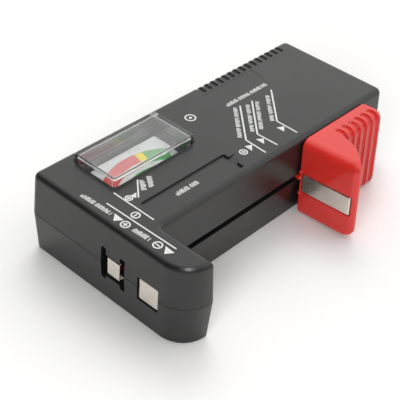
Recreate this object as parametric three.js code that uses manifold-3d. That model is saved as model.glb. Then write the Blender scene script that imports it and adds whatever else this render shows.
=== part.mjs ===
// Analogue battery tester: a two-part housing with a fixed jaw, a sliding jaw on the side, two 9 V contacts in the
// near end and a moving-coil meter under a raised clear window. Millimetres, +Z up.
// The origin is the middle of the housing's flat back; +Y is the long way, towards the far end, +X the slider's side.
import * as THREE from "three";
import { mergeVertices } from "three/addons/utils/BufferGeometryUtils.js";
import Module from "manifold-3d";

const wasm = await Module();
wasm.setup();
const DEGREE = Math.PI / 180;

// ---- Driving dimensions ----------------------------------------------------------------------------------------

// Housing
const BODY_LENGTH = 108;
const BODY_WIDTH = 40.5;
const BODY_HEIGHT = 25.7;
const PARTING_HEIGHT = 12.7;
const PARTING_GAP = 0.1;
const JAW_REACH = 18.35;          // how far the fixed jaw stands out from the body's side
const JAW_THICKNESS = 10.84;
const DRAFT = 3.4 * DEGREE;       // lean of the top shell's sides
const BACK_DRAFT_INSET = 0.9;     // how far the back's edge lies inside the parting line
const TOP_FILLET = 1.75;
const BACK_FILLET = 0.5;
const PLAN_RADIUS = 2.75;
const JAW_NEAR_RADIUS = 9.3;
const JAW_FAR_RADIUS = 1.4;
const ARMPIT_RADIUS = 0.4;
const WALL = 2;

// Side slot, in which the slider's tongue runs
const SLOT_LOW = 11.6;
const SLOT_HIGH = 13.65;
const SLOT_END_WALL = 2;

// Grip grooves on the left edge
const GRIP_COUNT = 15;
const GRIP_PITCH = 2.6;
const GRIP_START = 10.4;
const GRIP_RADIUS = 0.95;
const GRIP_DEPTH = 0.55;
const GRIP_REACH = 4.3;

// Recessed label panel beside the meter
const PANEL = { left: 9.35, right: 16.95, near: -41.3, far: -9.2, depth: 0.6 };
const PANEL_TAB = { left: 11.45, right: 14.45, far: -7, depth: 0.3 };

// Meter window
const WINDOW = { left: -16.25, right: -0.15, near: -41.5, far: -10.7 };
const WINDOW_PROUD = 2.2;
const WINDOW_WALL = 1.2;
const WINDOW_RADIUS = 0.9;
const WINDOW_CLEARANCE = 0.3;

// Meter movement, about its vertical pivot axis
const PIVOT_X = 7.55;
const PIVOT_Y = -25;
const METER = { left: -17.2, right: 14.2, near: -43, far: -9.5 };
const METER_FLOOR = 4.4;
const METER_SPLIT = 11.8;
const METER_TOP = 23.3;
const METER_WALL = 1;
const CARD_TOP = 18.8;
const NEEDLE_REST = -42 * DEGREE;  // from -X towards +Y
const NEEDLE_LENGTH = 19.2;
const CORE_RADIUS = 2.6;
const COIL_INNER = 3.1;
const COIL_OUTER = 3.7;
const YOKE_INNER = 4.2;
const YOKE_OUTER = 5.4;

// 9 V contacts, either side of a snap connector's 12.7 mm pitch
const PLUS_CONTACT = { x: 12.4, width: 4.5, low: 8.8, high: 15.5, holeWidth: 8.7, holeLow: 8.45, holeHigh: 15.85 };
const PLUS_SLOTS = { width: 1.8, low: 7.2, high: 17.8 };   // one at each side of the positive contact's opening
const MINUS_CONTACT = { x: 25.1, width: 6.6, low: 8.8, high: 15.6, holeWidth: 7.4, holeLow: 8.3, holeHigh: 15.9 };
const CONTACT_THICKNESS = 0.5;

// Slider
const SLIDER_NEAR = 12.93;
const SLIDER_LENGTH = 30.5;
const SLIDER_DEPTH = 19.7;
const SLIDER_HEIGHT = 24.7;
const SLIDER_LOW = 0.3;
const SLIDER_GAP = 0.3;           // running gap to the housing's side
const SLIDER_TIP = 2.2;           // thickness of the jaw wall at its outer end
const SLIDER_ROOT = 10.8;         // and where it meets the finger block
const SLIDER_BLOCK = 7.2;         // depth of the finger block
const SLIDER_WALL = 1.9;
const SLIDER_FILLET = 2.6;
const FINGER_RIB_COUNT = 6;
const FINGER_RIB_PITCH = 3.06;
const FINGER_RIB_START = 12;
const STRIP = { low: 7.8, high: 13.7, left: 1.25, right: 18.4, pocket: 0.7, thickness: 0.45 };

// Sides of round pieces
const ROUND = 16;
const CORNER_STEPS = 4;
const MIN_RADIUS = 0.2;
const ARC_CLEARANCE = 0.05;

const HALF_LENGTH = BODY_LENGTH / 2;
const HALF_WIDTH = BODY_WIDTH / 2;
const JAW_RIGHT = HALF_WIDTH + JAW_REACH;
const JAW_FACE = -HALF_LENGTH + JAW_THICKNESS;

// ---- Solid helpers ---------------------------------------------------------------------------------------------

// A closed geometry as a solid that can be joined and cut.
function solidOf(geometry) {
  geometry.deleteAttribute("normal");
  geometry.deleteAttribute("uv");
  const merged = mergeVertices(geometry, 1e-4);
  const vertProperties = new Float32Array(merged.attributes.position.array);
  const triVerts = new Uint32Array(merged.index.array);
  return new wasm.Manifold(new wasm.Mesh({ numProp: 3, vertProperties, triVerts }));
}

function geometryOf(solid) {
  const mesh = solid.getMesh();
  const geometry = new THREE.BufferGeometry();
  geometry.setAttribute("position", new THREE.BufferAttribute(new Float32Array(mesh.vertProperties), 3));
  geometry.setIndex(new THREE.BufferAttribute(new Uint32Array(mesh.triVerts), 1));
  geometry.computeVertexNormals();
  return geometry;
}

// A block between two corners.
function block(low, high) {
  const geometry = new THREE.BoxGeometry(high[0] - low[0], high[1] - low[1], high[2] - low[2]);
  geometry.translate((low[0] + high[0]) / 2, (low[1] + high[1]) / 2, (low[2] + high[2]) / 2);
  return solidOf(geometry);
}

// An upright cylinder between two heights.
function post(x, y, radius, low, high, sides = ROUND) {
  const geometry = new THREE.CylinderGeometry(radius, radius, high - low, sides);
  geometry.rotateX(Math.PI / 2);
  geometry.translate(x, y, (low + high) / 2);
  return solidOf(geometry);
}

// A turned piece about an upright axis, from [radius, z] points that start and end on the axis.
function turned(x, y, profile, sides = ROUND) {
  const points = profile.map(([radius, z]) => new THREE.Vector2(radius, z));
  const geometry = new THREE.LatheGeometry(points, sides);
  geometry.rotateX(Math.PI / 2);
  geometry.translate(x, y, 0);
  return solidOf(geometry);
}

function ring(x, y, outer, inner, low, high, sides = 24) {
  return post(x, y, outer, low, high, sides).subtract(post(x, y, inner, low - 1, high + 1, sides));
}

// A plan outline (anticlockwise) from corners { x, y, radius, follow }, moved inwards by inset. follow is the share
// of the inset that the edge leaving the corner takes. Every inset of one outline has the same number of points.
function planOutline(corners, inset = 0, steps = CORNER_STEPS) {
  const count = corners.length;
  const bends = corners.map((here, index) => {
    const before = corners[(index + count - 1) % count];
    const after = corners[(index + 1) % count];
    const into = new THREE.Vector2(here.x - before.x, here.y - before.y).normalize();
    const away = new THREE.Vector2(after.x - here.x, after.y - here.y).normalize();
    const insetIn = inset * (before.follow ?? 1);
    const insetOut = inset * (here.follow ?? 1);
    const shift = into.clone().multiplyScalar(-insetOut).add(away.clone().multiplyScalar(insetIn));
    const spot = new THREE.Vector2(here.x, here.y).add(shift.divideScalar(into.cross(away)));
    const side = Math.sign(into.cross(away));
    const angle = Math.acos(THREE.MathUtils.clamp(into.dot(away), -1, 1));
    const radius = Math.max(here.radius - side * Math.min(insetIn, insetOut), MIN_RADIUS);
    return { spot, into, side, angle, reach: radius * Math.tan(angle / 2) };
  });
  // Two arcs that would run into each other on a short edge: the larger one gives way.
  bends.forEach((here, index) => {
    const next = bends[(index + 1) % count];
    const room = here.spot.distanceTo(next.spot) - ARC_CLEARANCE;
    if (here.reach + next.reach <= room) return;
    const larger = here.reach > next.reach ? here : next;
    larger.reach = room - Math.min(here.reach, next.reach);
  });
  return bends.flatMap(({ spot, into, side, angle, reach }) => {
    const radius = reach / Math.tan(angle / 2);
    const start = spot.clone().addScaledVector(into, -reach);
    const centre = start.clone().add(new THREE.Vector2(-into.y, into.x).multiplyScalar(side * radius));
    return Array.from({ length: steps + 1 }, (unused, step) =>
      start.clone().rotateAround(centre, (side * angle * step) / steps));
  });
}

// A closed skin through a stack of outlines { points, z } with equal point counts, flat at both ends.
function loft(layers) {
  const count = layers[0].points.length;
  const positions = layers.flatMap(({ points, z }) => points.flatMap((point) => [point.x, point.y, z]));
  const indices = [];
  for (let layer = 0; layer + 1 < layers.length; layer += 1) {
    for (let i = 0; i < count; i += 1) {
      const a = layer * count + i;
      const b = layer * count + ((i + 1) % count);
      indices.push(a, b, b + count, a, b + count, a + count);
    }
  }
  const bottom = THREE.ShapeUtils.triangulateShape(layers[0].points, []);
  const top = THREE.ShapeUtils.triangulateShape(layers.at(-1).points, []);
  const lift = (layers.length - 1) * count;
  bottom.forEach(([a, b, c]) => indices.push(a, c, b));
  top.forEach(([a, b, c]) => indices.push(lift + a, lift + b, lift + c));
  const geometry = new THREE.BufferGeometry();
  geometry.setAttribute("position", new THREE.Float32BufferAttribute(positions, 3));
  geometry.setIndex(indices);
  return solidOf(geometry);
}

// An upright prism of one outline of [x, y] points.
function prism(points, low, high) {
  const shape = new THREE.Shape(points.map(([x, y]) => new THREE.Vector2(x, y)));
  const geometry = new THREE.ExtrudeGeometry(shape, { depth: high - low, bevelEnabled: false });
  geometry.translate(0, 0, low);
  return solidOf(geometry);
}

// A strip bent in the YZ plane: its side view as [y, z] points, and its span in X.
function bentStrip(sideView, left, right) {
  const shape = new THREE.Shape(sideView.map(([y, z]) => new THREE.Vector2(y, z)));
  const geometry = new THREE.ExtrudeGeometry(shape, { depth: right - left, bevelEnabled: false });
  const yzToX = new THREE.Matrix4().makeBasis(
    new THREE.Vector3(0, 1, 0), new THREE.Vector3(0, 0, 1), new THREE.Vector3(1, 0, 0));
  geometry.applyMatrix4(yzToX);
  geometry.translate(left, 0, 0);
  return solidOf(geometry);
}

// ---- The model's tree ------------------------------------------------------------------------------------------

const tester = new THREE.Group();
const finishes = {
  shell: { color: 0x4c4c4b, roughness: 0.55, metalness: 0 },
  clear: { color: 0xdfe3e4, roughness: 0.05, metalness: 0, transparent: true, opacity: 0.3 },
  meterBase: { color: 0x8c8f8f, roughness: 0.6, metalness: 0 },
  card: { color: 0xf2f2f0, roughness: 0.7, metalness: 0 },
  needle: { color: 0x1c1c1c, roughness: 0.5, metalness: 0 },
  red: { color: 0xd8322a, roughness: 0.25, metalness: 0 },
  nickel: { color: 0xc9c2b8, roughness: 0.3, metalness: 1 },
  brass: { color: 0xb5974f, roughness: 0.35, metalness: 1 },
  iron: { color: 0x6e7072, roughness: 0.5, metalness: 1 },
  copper: { color: 0xa9552c, roughness: 0.4, metalness: 1 },
  board: { color: 0x9a6b3a, roughness: 0.7, metalness: 0 },
  resistor: { color: 0xcbb27d, roughness: 0.5, metalness: 0 },
  wireRed: { color: 0xb3261e, roughness: 0.5, metalness: 0 },
  wireBlack: { color: 0x222222, roughness: 0.5, metalness: 0 },
  steel: { color: 0x9b9da0, roughness: 0.35, metalness: 1 },
};
const materials = Object.fromEntries(
  Object.entries(finishes).map(([name, values]) => [name, new THREE.MeshStandardMaterial(values)]));

function addPiece(name, solid, finish, parent = tester) {
  const mesh = new THREE.Mesh(geometryOf(solid), materials[finish]);
  mesh.name = name;
  parent.add(mesh);
  return mesh;
}

// ---- Housing ---------------------------------------------------------------------------------------------------

const housingPlan = [
  { x: -HALF_WIDTH, y: -HALF_LENGTH, radius: PLAN_RADIUS },
  { x: JAW_RIGHT, y: -HALF_LENGTH, radius: JAW_NEAR_RADIUS },
  { x: JAW_RIGHT, y: JAW_FACE, radius: JAW_FAR_RADIUS },
  { x: HALF_WIDTH, y: JAW_FACE, radius: ARMPIT_RADIUS },
  { x: HALF_WIDTH, y: HALF_LENGTH, radius: PLAN_RADIUS },
  { x: -HALF_WIDTH, y: HALF_LENGTH, radius: PLAN_RADIUS },
];

// How far the housing's side lies inside the parting line at a height.
function sideInset(z) {
  if (z < PARTING_HEIGHT) return (BACK_DRAFT_INSET * (PARTING_HEIGHT - z)) / PARTING_HEIGHT;
  return (z - PARTING_HEIGHT) * Math.tan(DRAFT);
}

function housingLayer(z, extra = 0) {
  return { points: planOutline(housingPlan, sideInset(z) + extra), z };
}

const screwSpots = [[-14.6, -48], [-14.6, 48], [9.6, 48], [30.4, -48.58]];
const BOSS_RADIUS = 2.5;
const BOSS_JOIN = 5.2;            // height at which the two bosses of a screw meet
const HEAD_RADIUS = 2.4;
const HEAD_SEAT = 2.8;
const SHANK_RADIUS = 1.1;
const SCREW_CLEARANCE = 0.35;

function openingsOfContacts() {
  const near = -HALF_LENGTH - 1;
  const through = -HALF_LENGTH + WALL + 1;
  const holes = [PLUS_CONTACT, MINUS_CONTACT].map(({ x, holeWidth, holeLow, holeHigh }) =>
    block([x - holeWidth / 2, near, holeLow], [x + holeWidth / 2, through, holeHigh]));
  const { x, holeWidth } = PLUS_CONTACT;
  const slots = [x - holeWidth / 2, x + holeWidth / 2 - PLUS_SLOTS.width].map((left) =>
    block([left, near, PLUS_SLOTS.low], [left + PLUS_SLOTS.width, through, PLUS_SLOTS.high]));
  return [...holes, ...slots];
}

function sideSlot() {
  const outside = HALF_WIDTH + 2;
  return block([HALF_WIDTH - WALL - 1.5, JAW_FACE, SLOT_LOW], [outside, HALF_LENGTH - SLOT_END_WALL, SLOT_HIGH]);
}

// The fixed jaw's contact sits in a pocket, with a slot behind for its tail.
const JAW_PLATE = { left: 22.3, right: 36.3, low: 7.8, high: 13.7, thickness: 0.5, pocket: 0.8 };
const JAW_TAIL = { left: 23.4, right: 26.4, low: 10, high: 10.5, length: 3.2 };

function jawPocket() {
  const gap = 0.3;
  const face = block(
    [JAW_PLATE.left - gap, JAW_FACE - JAW_PLATE.pocket - 0.05, JAW_PLATE.low - gap],
    [JAW_PLATE.right + gap, JAW_FACE + 1, JAW_PLATE.high + gap]);
  const tail = block(
    [JAW_TAIL.left - gap, JAW_FACE - WALL - 1, JAW_TAIL.low - gap],
    [JAW_TAIL.right + gap, JAW_FACE, JAW_TAIL.high + gap]);
  return face.add(tail);
}

function topShell() {
  const filletSteps = [0, 30, 60, 90];
  const filletFoot = BODY_HEIGHT - TOP_FILLET;
  const fillet = filletSteps.map((angle) => {
    const rise = TOP_FILLET * Math.sin(angle * DEGREE);
    const layer = housingLayer(filletFoot, TOP_FILLET * (1 - Math.cos(angle * DEGREE)));
    return { points: layer.points, z: filletFoot + rise };
  });
  const foot = PARTING_HEIGHT + PARTING_GAP / 2;
  const ceiling = BODY_HEIGHT - WALL;
  let shell = loft([housingLayer(foot), ...fillet]);
  shell = shell.subtract(loft([housingLayer(PARTING_HEIGHT - 1, WALL), housingLayer(ceiling, WALL)]));
  const hole = SHANK_RADIUS + SCREW_CLEARANCE;
  for (const [x, y] of screwSpots) {
    shell = shell.add(post(x, y, BOSS_RADIUS, BOSS_JOIN + 0.15, ceiling + 0.5));
    shell = shell.subtract(post(x, y, hole, BOSS_JOIN - 1, PARTING_HEIGHT + 3));
  }
  shell = shell.subtract(block(
    [WINDOW.left - WINDOW_CLEARANCE, WINDOW.near - WINDOW_CLEARANCE, ceiling - 1],
    [WINDOW.right + WINDOW_CLEARANCE, WINDOW.far + WINDOW_CLEARANCE, BODY_HEIGHT + 1]));
  shell = shell.subtract(block(
    [PANEL.left, PANEL.near, BODY_HEIGHT - PANEL.depth], [PANEL.right, PANEL.far, BODY_HEIGHT + 1]));
  shell = shell.subtract(block(
    [PANEL_TAB.left, PANEL.far - 1, BODY_HEIGHT - PANEL_TAB.depth], [PANEL_TAB.right, PANEL_TAB.far, BODY_HEIGHT + 1]));
  for (const opening of [...openingsOfContacts(), sideSlot(), jawPocket()]) shell = shell.subtract(opening);
  return shell.subtract(gripGrooves());
}

// Round-bottomed grooves across the left top edge, each ending in a ball.
function gripGrooves() {
  const edge = -HALF_WIDTH + sideInset(BODY_HEIGHT);
  const sides = 10;
  let grooves = null;
  for (let index = 0; index < GRIP_COUNT; index += 1) {
    const y = GRIP_START + index * GRIP_PITCH;
    const length = GRIP_REACH + 4;
    const rod = new THREE.CapsuleGeometry(GRIP_RADIUS, length, 2, sides);
    rod.rotateZ(Math.PI / 2);
    rod.translate(edge + GRIP_REACH - GRIP_RADIUS - length / 2, y, BODY_HEIGHT + GRIP_RADIUS - GRIP_DEPTH);
    const side = new THREE.CylinderGeometry(GRIP_RADIUS, GRIP_RADIUS, 8, sides);
    side.rotateX(Math.PI / 2);
    side.rotateY(-DRAFT);
    side.translate(edge - GRIP_RADIUS + GRIP_DEPTH, y, BODY_HEIGHT - 3);
    const groove = solidOf(rod).add(solidOf(side));
    grooves = grooves ? grooves.add(groove) : groove;
  }
  return grooves;
}

function bottomShell() {
  const rim = PARTING_HEIGHT - PARTING_GAP / 2;
  let shell = loft([housingLayer(0, BACK_FILLET), housingLayer(BACK_FILLET), housingLayer(rim)]);
  shell = shell.subtract(loft([housingLayer(WALL, WALL), housingLayer(PARTING_HEIGHT + 1, WALL)]));
  for (const [x, y] of screwSpots) {
    shell = shell.add(post(x, y, BOSS_RADIUS + 1, WALL - 0.5, BOSS_JOIN - 0.15));
    shell = shell.subtract(post(x, y, HEAD_RADIUS + SCREW_CLEARANCE, -1, HEAD_SEAT));
    shell = shell.subtract(post(x, y, SHANK_RADIUS + SCREW_CLEARANCE, -1, BOSS_JOIN + 1));
  }
  for (const { x, y } of boardPosts) shell = shell.add(post(x, y, 1.6, WALL - 0.5, BOARD.low - 0.3));
  for (const opening of [...openingsOfContacts(), sideSlot(), jawPocket()]) shell = shell.subtract(opening);
  return shell;
}

// ---- Circuit board and resistors -------------------------------------------------------------------------------

const BOARD = { left: -14, right: 8.5, near: -3, far: 22, low: 5, thickness: 1.2 };
const BOARD_TOP = BOARD.low + BOARD.thickness;
const boardPosts = [{ x: -11, y: 0.5 }, { x: 5.5, y: 17.5 }];
const RESISTOR = { radius: 1.25, length: 7, neck: 0.3, reach: 5.4, count: 3, pitch: 4.6 };

function circuitBoard() {
  return block([BOARD.left, BOARD.near, BOARD.low], [BOARD.right, BOARD.far, BOARD_TOP]);
}

// A barrel resistor along X with its two leads.
function resistor(index) {
  const half = RESISTOR.length / 2;
  const profile = [
    [0, -RESISTOR.reach], [RESISTOR.neck, -RESISTOR.reach], [RESISTOR.neck, -half],
    [RESISTOR.radius * 0.75, -half], [RESISTOR.radius, -half + 0.6], [RESISTOR.radius, half - 0.6],
    [RESISTOR.radius * 0.75, half], [RESISTOR.neck, half], [RESISTOR.neck, RESISTOR.reach], [0, RESISTOR.reach],
  ];
  const y = 3.6 + index * RESISTOR.pitch;
  const z = BOARD_TOP + RESISTOR.radius + 0.3;
  return turned(0, 0, profile, 12).rotate([0, 90, 0]).translate([-3, y, z]);
}

// ---- Contacts in the housing -----------------------------------------------------------------------------------

// Tongue that bows out through the positive opening and is held behind the wall at both ends.
function plusContact() {
  const { x, width, low, high, holeLow, holeHigh } = PLUS_CONTACT;
  const behind = -HALF_LENGTH + WALL + 0.8;
  const front = -HALF_LENGTH + 0.5;
  const t = CONTACT_THICKNESS;
  const sideView = [
    [behind, holeLow - 3.4], [behind, low], [front, low + 0.5], [front, high - 0.5], [behind, high],
    [behind, holeHigh + 3.9], [behind + t, holeHigh + 3.9], [behind + t, high - t], [front + t, high - t - 0.4],
    [front + t, low + t + 0.4], [behind + t, low + t], [behind + t, holeLow - 3.4],
  ];
  return bentStrip(sideView, x - width / 2, x + width / 2);
}

// Flat plate in the negative opening, with a narrower foot that turns back into the housing.
function minusContact() {
  const { x, width, low, high } = MINUS_CONTACT;
  const t = CONTACT_THICKNESS;
  const front = -HALF_LENGTH + 0.6;
  const back = -HALF_LENGTH + WALL + 1;
  const plate = block([x - width / 2, front, low], [x + width / 2, front + t, high]);
  const footView = [
    [front, low], [back, low], [back, low - 3], [back + t, low - 3], [back + t, low + t], [front, low + t]];
  return plate.add(bentStrip(footView, x - width / 4, x + width / 4));
}

function jawContact() {
  const { left, right, low, high, thickness } = JAW_PLATE;
  const plate = block([left, JAW_FACE - thickness, low], [right, JAW_FACE, high]);
  const tail = block(
    [JAW_TAIL.left, JAW_FACE - JAW_TAIL.length, JAW_TAIL.low], [JAW_TAIL.right, JAW_FACE - 0.1, JAW_TAIL.high]);
  return plate.add(tail);
}

const RAIL = { left: 14.6, right: 17.1, near: -40, far: 49.5, low: 2.3, thickness: 0.5 };

function contactRail() {
  const top = RAIL.low + RAIL.thickness;
  const strip = block([RAIL.left, RAIL.near, RAIL.low], [RAIL.right, RAIL.far, top]);
  const tab = block([12.4, 40, RAIL.low], [RAIL.left + 0.5, 42.5, top]);
  return strip.add(tab);
}

// ---- Meter -----------------------------------------------------------------------------------------------------

// Clear cover: a raised window box on a wider skirt that closes the movement in.
function meterWindow() {
  const radius = WINDOW_RADIUS;
  const plan = [
    { x: WINDOW.left, y: WINDOW.near, radius },
    { x: WINDOW.right, y: WINDOW.near, radius },
    { x: WINDOW.right, y: WINDOW.far, radius },
    { x: WINDOW.left, y: WINDOW.far, radius },
  ];
  const top = BODY_HEIGHT + WINDOW_PROUD;
  const edge = 0.4;
  const layers = [[0, METER_TOP - 0.5], [0, top - edge], [edge, top]];
  const raised = loft(layers.map(([inset, z]) => ({ points: planOutline(plan, inset, 3), z })));
  const skirt = block([METER.left, METER.near, METER_SPLIT + 0.15], [METER.right, METER.far, METER_TOP]);
  const inside = METER_TOP - METER_WALL;
  const hollow = block(
    [METER.left + METER_WALL, METER.near + METER_WALL, METER_SPLIT - 1],
    [METER.right - METER_WALL, METER.far - METER_WALL, inside]);
  const well = block(
    [WINDOW.left + WINDOW_WALL, WINDOW.near + WINDOW_WALL, inside - 1],
    [WINDOW.right - WINDOW_WALL, WINDOW.far - WINDOW_WALL, top - WINDOW_WALL]);
  return skirt.add(raised).subtract(hollow).subtract(well);
}

const TERMINALS = [{ name: "meter_terminal_plus", x: -9 }, { name: "meter_terminal_minus", x: 0.3 }];
const TERMINAL_Z = 6.8;

function meterCase() {
  let tub = block([METER.left, METER.near, METER_FLOOR], [METER.right, METER.far, METER_SPLIT - 0.15]);
  tub = tub.subtract(block(
    [METER.left + METER_WALL, METER.near + METER_WALL, METER_FLOOR + METER_WALL],
    [METER.right - METER_WALL, METER.far - METER_WALL, METER_SPLIT + 1]));
  for (const { x } of TERMINALS) {
    tub = tub.subtract(block([x - 1.3, METER.far - 2, TERMINAL_Z - 0.3], [x + 1.3, METER.far + 1, TERMINAL_Z + 0.7]));
  }
  for (const { x, y } of cardPosts) tub = tub.add(post(x, y, 1, METER_FLOOR + 0.5, CARD_TOP - 0.7, 10));
  return tub;
}

const cardPosts = [{ x: -14, y: -40 }, { x: -14, y: -12.5 }];

function scaleCard() {
  const right = 0.6;
  return block([METER.left + METER_WALL + 0.25, METER.near + METER_WALL + 0.2, CARD_TOP - 0.4],
    [right, METER.far - METER_WALL - 0.1, CARD_TOP]);
}

const COIL_LOW = 8;
const COIL_HIGH = 17;
const COIL_RIM = 0.9;
const COIL_WIDTH = 1.6;

// Upright rectangular winding around the core, at the needle's angle.
function movingCoil() {
  const outer = block([-COIL_OUTER, -COIL_WIDTH / 2, COIL_LOW], [COIL_OUTER, COIL_WIDTH / 2, COIL_HIGH]);
  const inner = block([-COIL_INNER, -COIL_WIDTH, COIL_LOW + COIL_RIM], [COIL_INNER, COIL_WIDTH, COIL_HIGH - COIL_RIM]);
  return atNeedleAngle(outer.subtract(inner));
}

// Turns a piece that is drawn along -X about the pivot to the needle's rest angle.
function atNeedleAngle(solid) {
  return solid.rotate([0, 0, -NEEDLE_REST / DEGREE]).translate([PIVOT_X, PIVOT_Y, 0]);
}

function magnetCore() {
  const low = COIL_LOW + COIL_RIM + 0.5;
  const high = COIL_HIGH - COIL_RIM - 0.5;
  const slot = block(
    [PIVOT_X - CORE_BAR.width / 2 - 0.3, PIVOT_Y - 9, CORE_BAR.low - 0.3],
    [PIVOT_X + CORE_BAR.width / 2 + 0.3, PIVOT_Y + 9, CORE_BAR.high + 0.3]);
  return post(PIVOT_X, PIVOT_Y, CORE_RADIUS, low, high, 24).subtract(slot);
}

const CORE_BAR = { width: 1.4, low: 11.8, high: 13.2 };

function coreBar() {
  const reach = YOKE_INNER - 0.4;
  return block(
    [PIVOT_X - CORE_BAR.width / 2, PIVOT_Y - reach, CORE_BAR.low],
    [PIVOT_X + CORE_BAR.width / 2, PIVOT_Y + reach, CORE_BAR.high]);
}

const PILLAR = { reach: 6.8, halfLength: 0.8, halfWidth: 1.2, low: 5.7, high: 20.9 };

function movementFrame() {
  let frame = ring(PIVOT_X, PIVOT_Y, 7, 2.2, 6.9, 7.7);
  frame = frame.intersect(block([PIVOT_X - 5.4, PIVOT_Y - 9, 0], [PIVOT_X + 5.4, PIVOT_Y + 9, 30]));
  for (const side of [-1, 1]) {
    const y = PIVOT_Y + side * PILLAR.reach;
    frame = frame.add(block(
      [PIVOT_X - PILLAR.halfWidth, y - PILLAR.halfLength, PILLAR.low],
      [PIVOT_X + PILLAR.halfWidth, y + PILLAR.halfLength, PILLAR.high]));
  }
  return frame;
}

function bridge(reach, low, high) {
  const strip = block([PIVOT_X - 1.9, PIVOT_Y - reach, low], [PIVOT_X + 1.9, PIVOT_Y + reach, high]);
  return strip.subtract(post(PIVOT_X, PIVOT_Y, 1.25, low - 1, high + 1));
}

// Cup bearing: mouth is the height of its open end, and reach runs from there to its back.
function jewel(mouth, reach) {
  const cup = Math.sign(reach) * 0.5;
  const profile = [[0, mouth + cup], [0.6, mouth], [0.9, mouth], [0.9, mouth + reach], [0, mouth + reach]];
  return turned(PIVOT_X, PIVOT_Y, reach > 0 ? profile : profile.reverse(), 12);
}

function upperPivot() {
  return turned(PIVOT_X, PIVOT_Y,
    [[0, 17.1], [1.2, 17.1], [1.2, 17.5], [0.45, 17.5], [0.45, 20.8], [0, 21.2]], 10);
}

function lowerPivot() {
  return turned(PIVOT_X, PIVOT_Y, [[0, 6.5], [0.4, 7], [0.4, 7.4], [1, 7.4], [1, 7.9], [0, 7.9]], 10);
}

const NEEDLE_LOW = 19.4;
const NEEDLE_THICKNESS = 0.4;

// Tapered pointer with a hub around the upper pivot and a counterweight behind it.
function needle() {
  const high = NEEDLE_LOW + NEEDLE_THICKNESS;
  const pointer = prism([[-NEEDLE_LENGTH, -0.15], [0, -0.35], [0, 0.35], [-NEEDLE_LENGTH, 0.15]].reverse(),
    NEEDLE_LOW, high);
  const tail = block([0, -0.5, NEEDLE_LOW], [3.6, 0.5, high]);
  const weight = post(3.6, 0, 1.1, NEEDLE_LOW, high + 0.4, 12);
  const hub = post(0, 0, 1.4, NEEDLE_LOW, high + 0.3, 12);
  const bore = post(0, 0, 0.75, NEEDLE_LOW - 1, high + 2, 12);
  return atNeedleAngle(pointer.add(tail).add(weight).add(hub).subtract(bore));
}

// Flat spiral of fine strip around the upper pivot, held at its outer end.
function hairspring() {
  const turns = 2.5;
  const steps = 40;
  const inner = 0.95;
  const growth = 0.85;
  const thickness = 0.15;
  const outline = [];
  for (const offset of [0, thickness]) {
    const edge = [];
    for (let step = 0; step <= steps; step += 1) {
      const angle = (step / steps) * turns * 2 * Math.PI;
      const radius = inner + (growth * angle) / (2 * Math.PI) + offset;
      edge.push([radius * Math.cos(angle), radius * Math.sin(angle)]);
    }
    outline.push(...(offset ? edge : edge.reverse()));
  }
  return prism(outline, 18.1, 18.5).rotate([0, 0, -90]).translate([PIVOT_X, PIVOT_Y, 0]);
}

function springArm() {
  return block([PIVOT_X - 0.5, PIVOT_Y + 3.5, 18], [PIVOT_X + 0.5, PIVOT_Y + PILLAR.reach - PILLAR.halfLength - 0.1, 18.6]);
}

function meterTerminal(x) {
  return block([x - 1, METER.far - 2.5, TERMINAL_Z], [x + 1, METER.far + 3, TERMINAL_Z + 0.4]);
}

// ---- Slider ----------------------------------------------------------------------------------------------------

// Drawn upright with its inner face on x = 0 and its front on y = 0, then leaned to follow the housing's side.
const sliderPlan = [
  { x: 0, y: 0, radius: 0.8 },
  { x: SLIDER_DEPTH, y: 0, radius: 1.6 },
  { x: SLIDER_DEPTH, y: SLIDER_TIP, radius: 0.5, follow: 0.12 },
  { x: 12.9, y: 8.7, radius: 9, follow: 0.12 },
  { x: SLIDER_BLOCK, y: SLIDER_ROOT, radius: 1.5 },
  { x: SLIDER_BLOCK, y: SLIDER_LENGTH, radius: 2, follow: 0.4 },
  { x: 0, y: SLIDER_LENGTH, radius: 0.8, follow: 0 },
];

// At the back only the outer end is rounded as far as at the top; the other edges take a small share of it.
const BACK_SHARE = 0.22;
const sliderBackPlan = sliderPlan.map((corner, index) => (
  { ...corner, follow: index === 1 ? 1 : (corner.follow ?? 1) * BACK_SHARE }));

// The hollow inside, open at the back.
const sliderHollowPlan = [
  { x: SLIDER_WALL, y: SLIDER_WALL, radius: 0.5 },
  { x: 16.2, y: SLIDER_WALL, radius: 0.3 },
  { x: 11.4, y: 7, radius: 0.5 },
  { x: SLIDER_BLOCK - SLIDER_WALL, y: 9.6, radius: 0.5 },
  { x: SLIDER_BLOCK - SLIDER_WALL, y: SLIDER_LENGTH - SLIDER_WALL, radius: 0.5 },
  { x: SLIDER_WALL, y: SLIDER_LENGTH - SLIDER_WALL, radius: 0.5 },
];
const SLIDER_X = HALF_WIDTH + SLIDER_GAP / Math.cos(DRAFT) + (PARTING_HEIGHT - SLIDER_LOW) * Math.tan(DRAFT);

function leaned(solid) {
  return solid.rotate([0, -DRAFT / DEGREE, 0]).translate([SLIDER_X, SLIDER_NEAR, SLIDER_LOW]);
}

const TONGUE = { low: 12.15, high: 13.35, inner: 16.3, near: -0.6, far: 28.5 };

function sliderLayer(inset, z, plan = sliderPlan) {
  return { points: planOutline(plan, inset), z };
}

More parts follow.
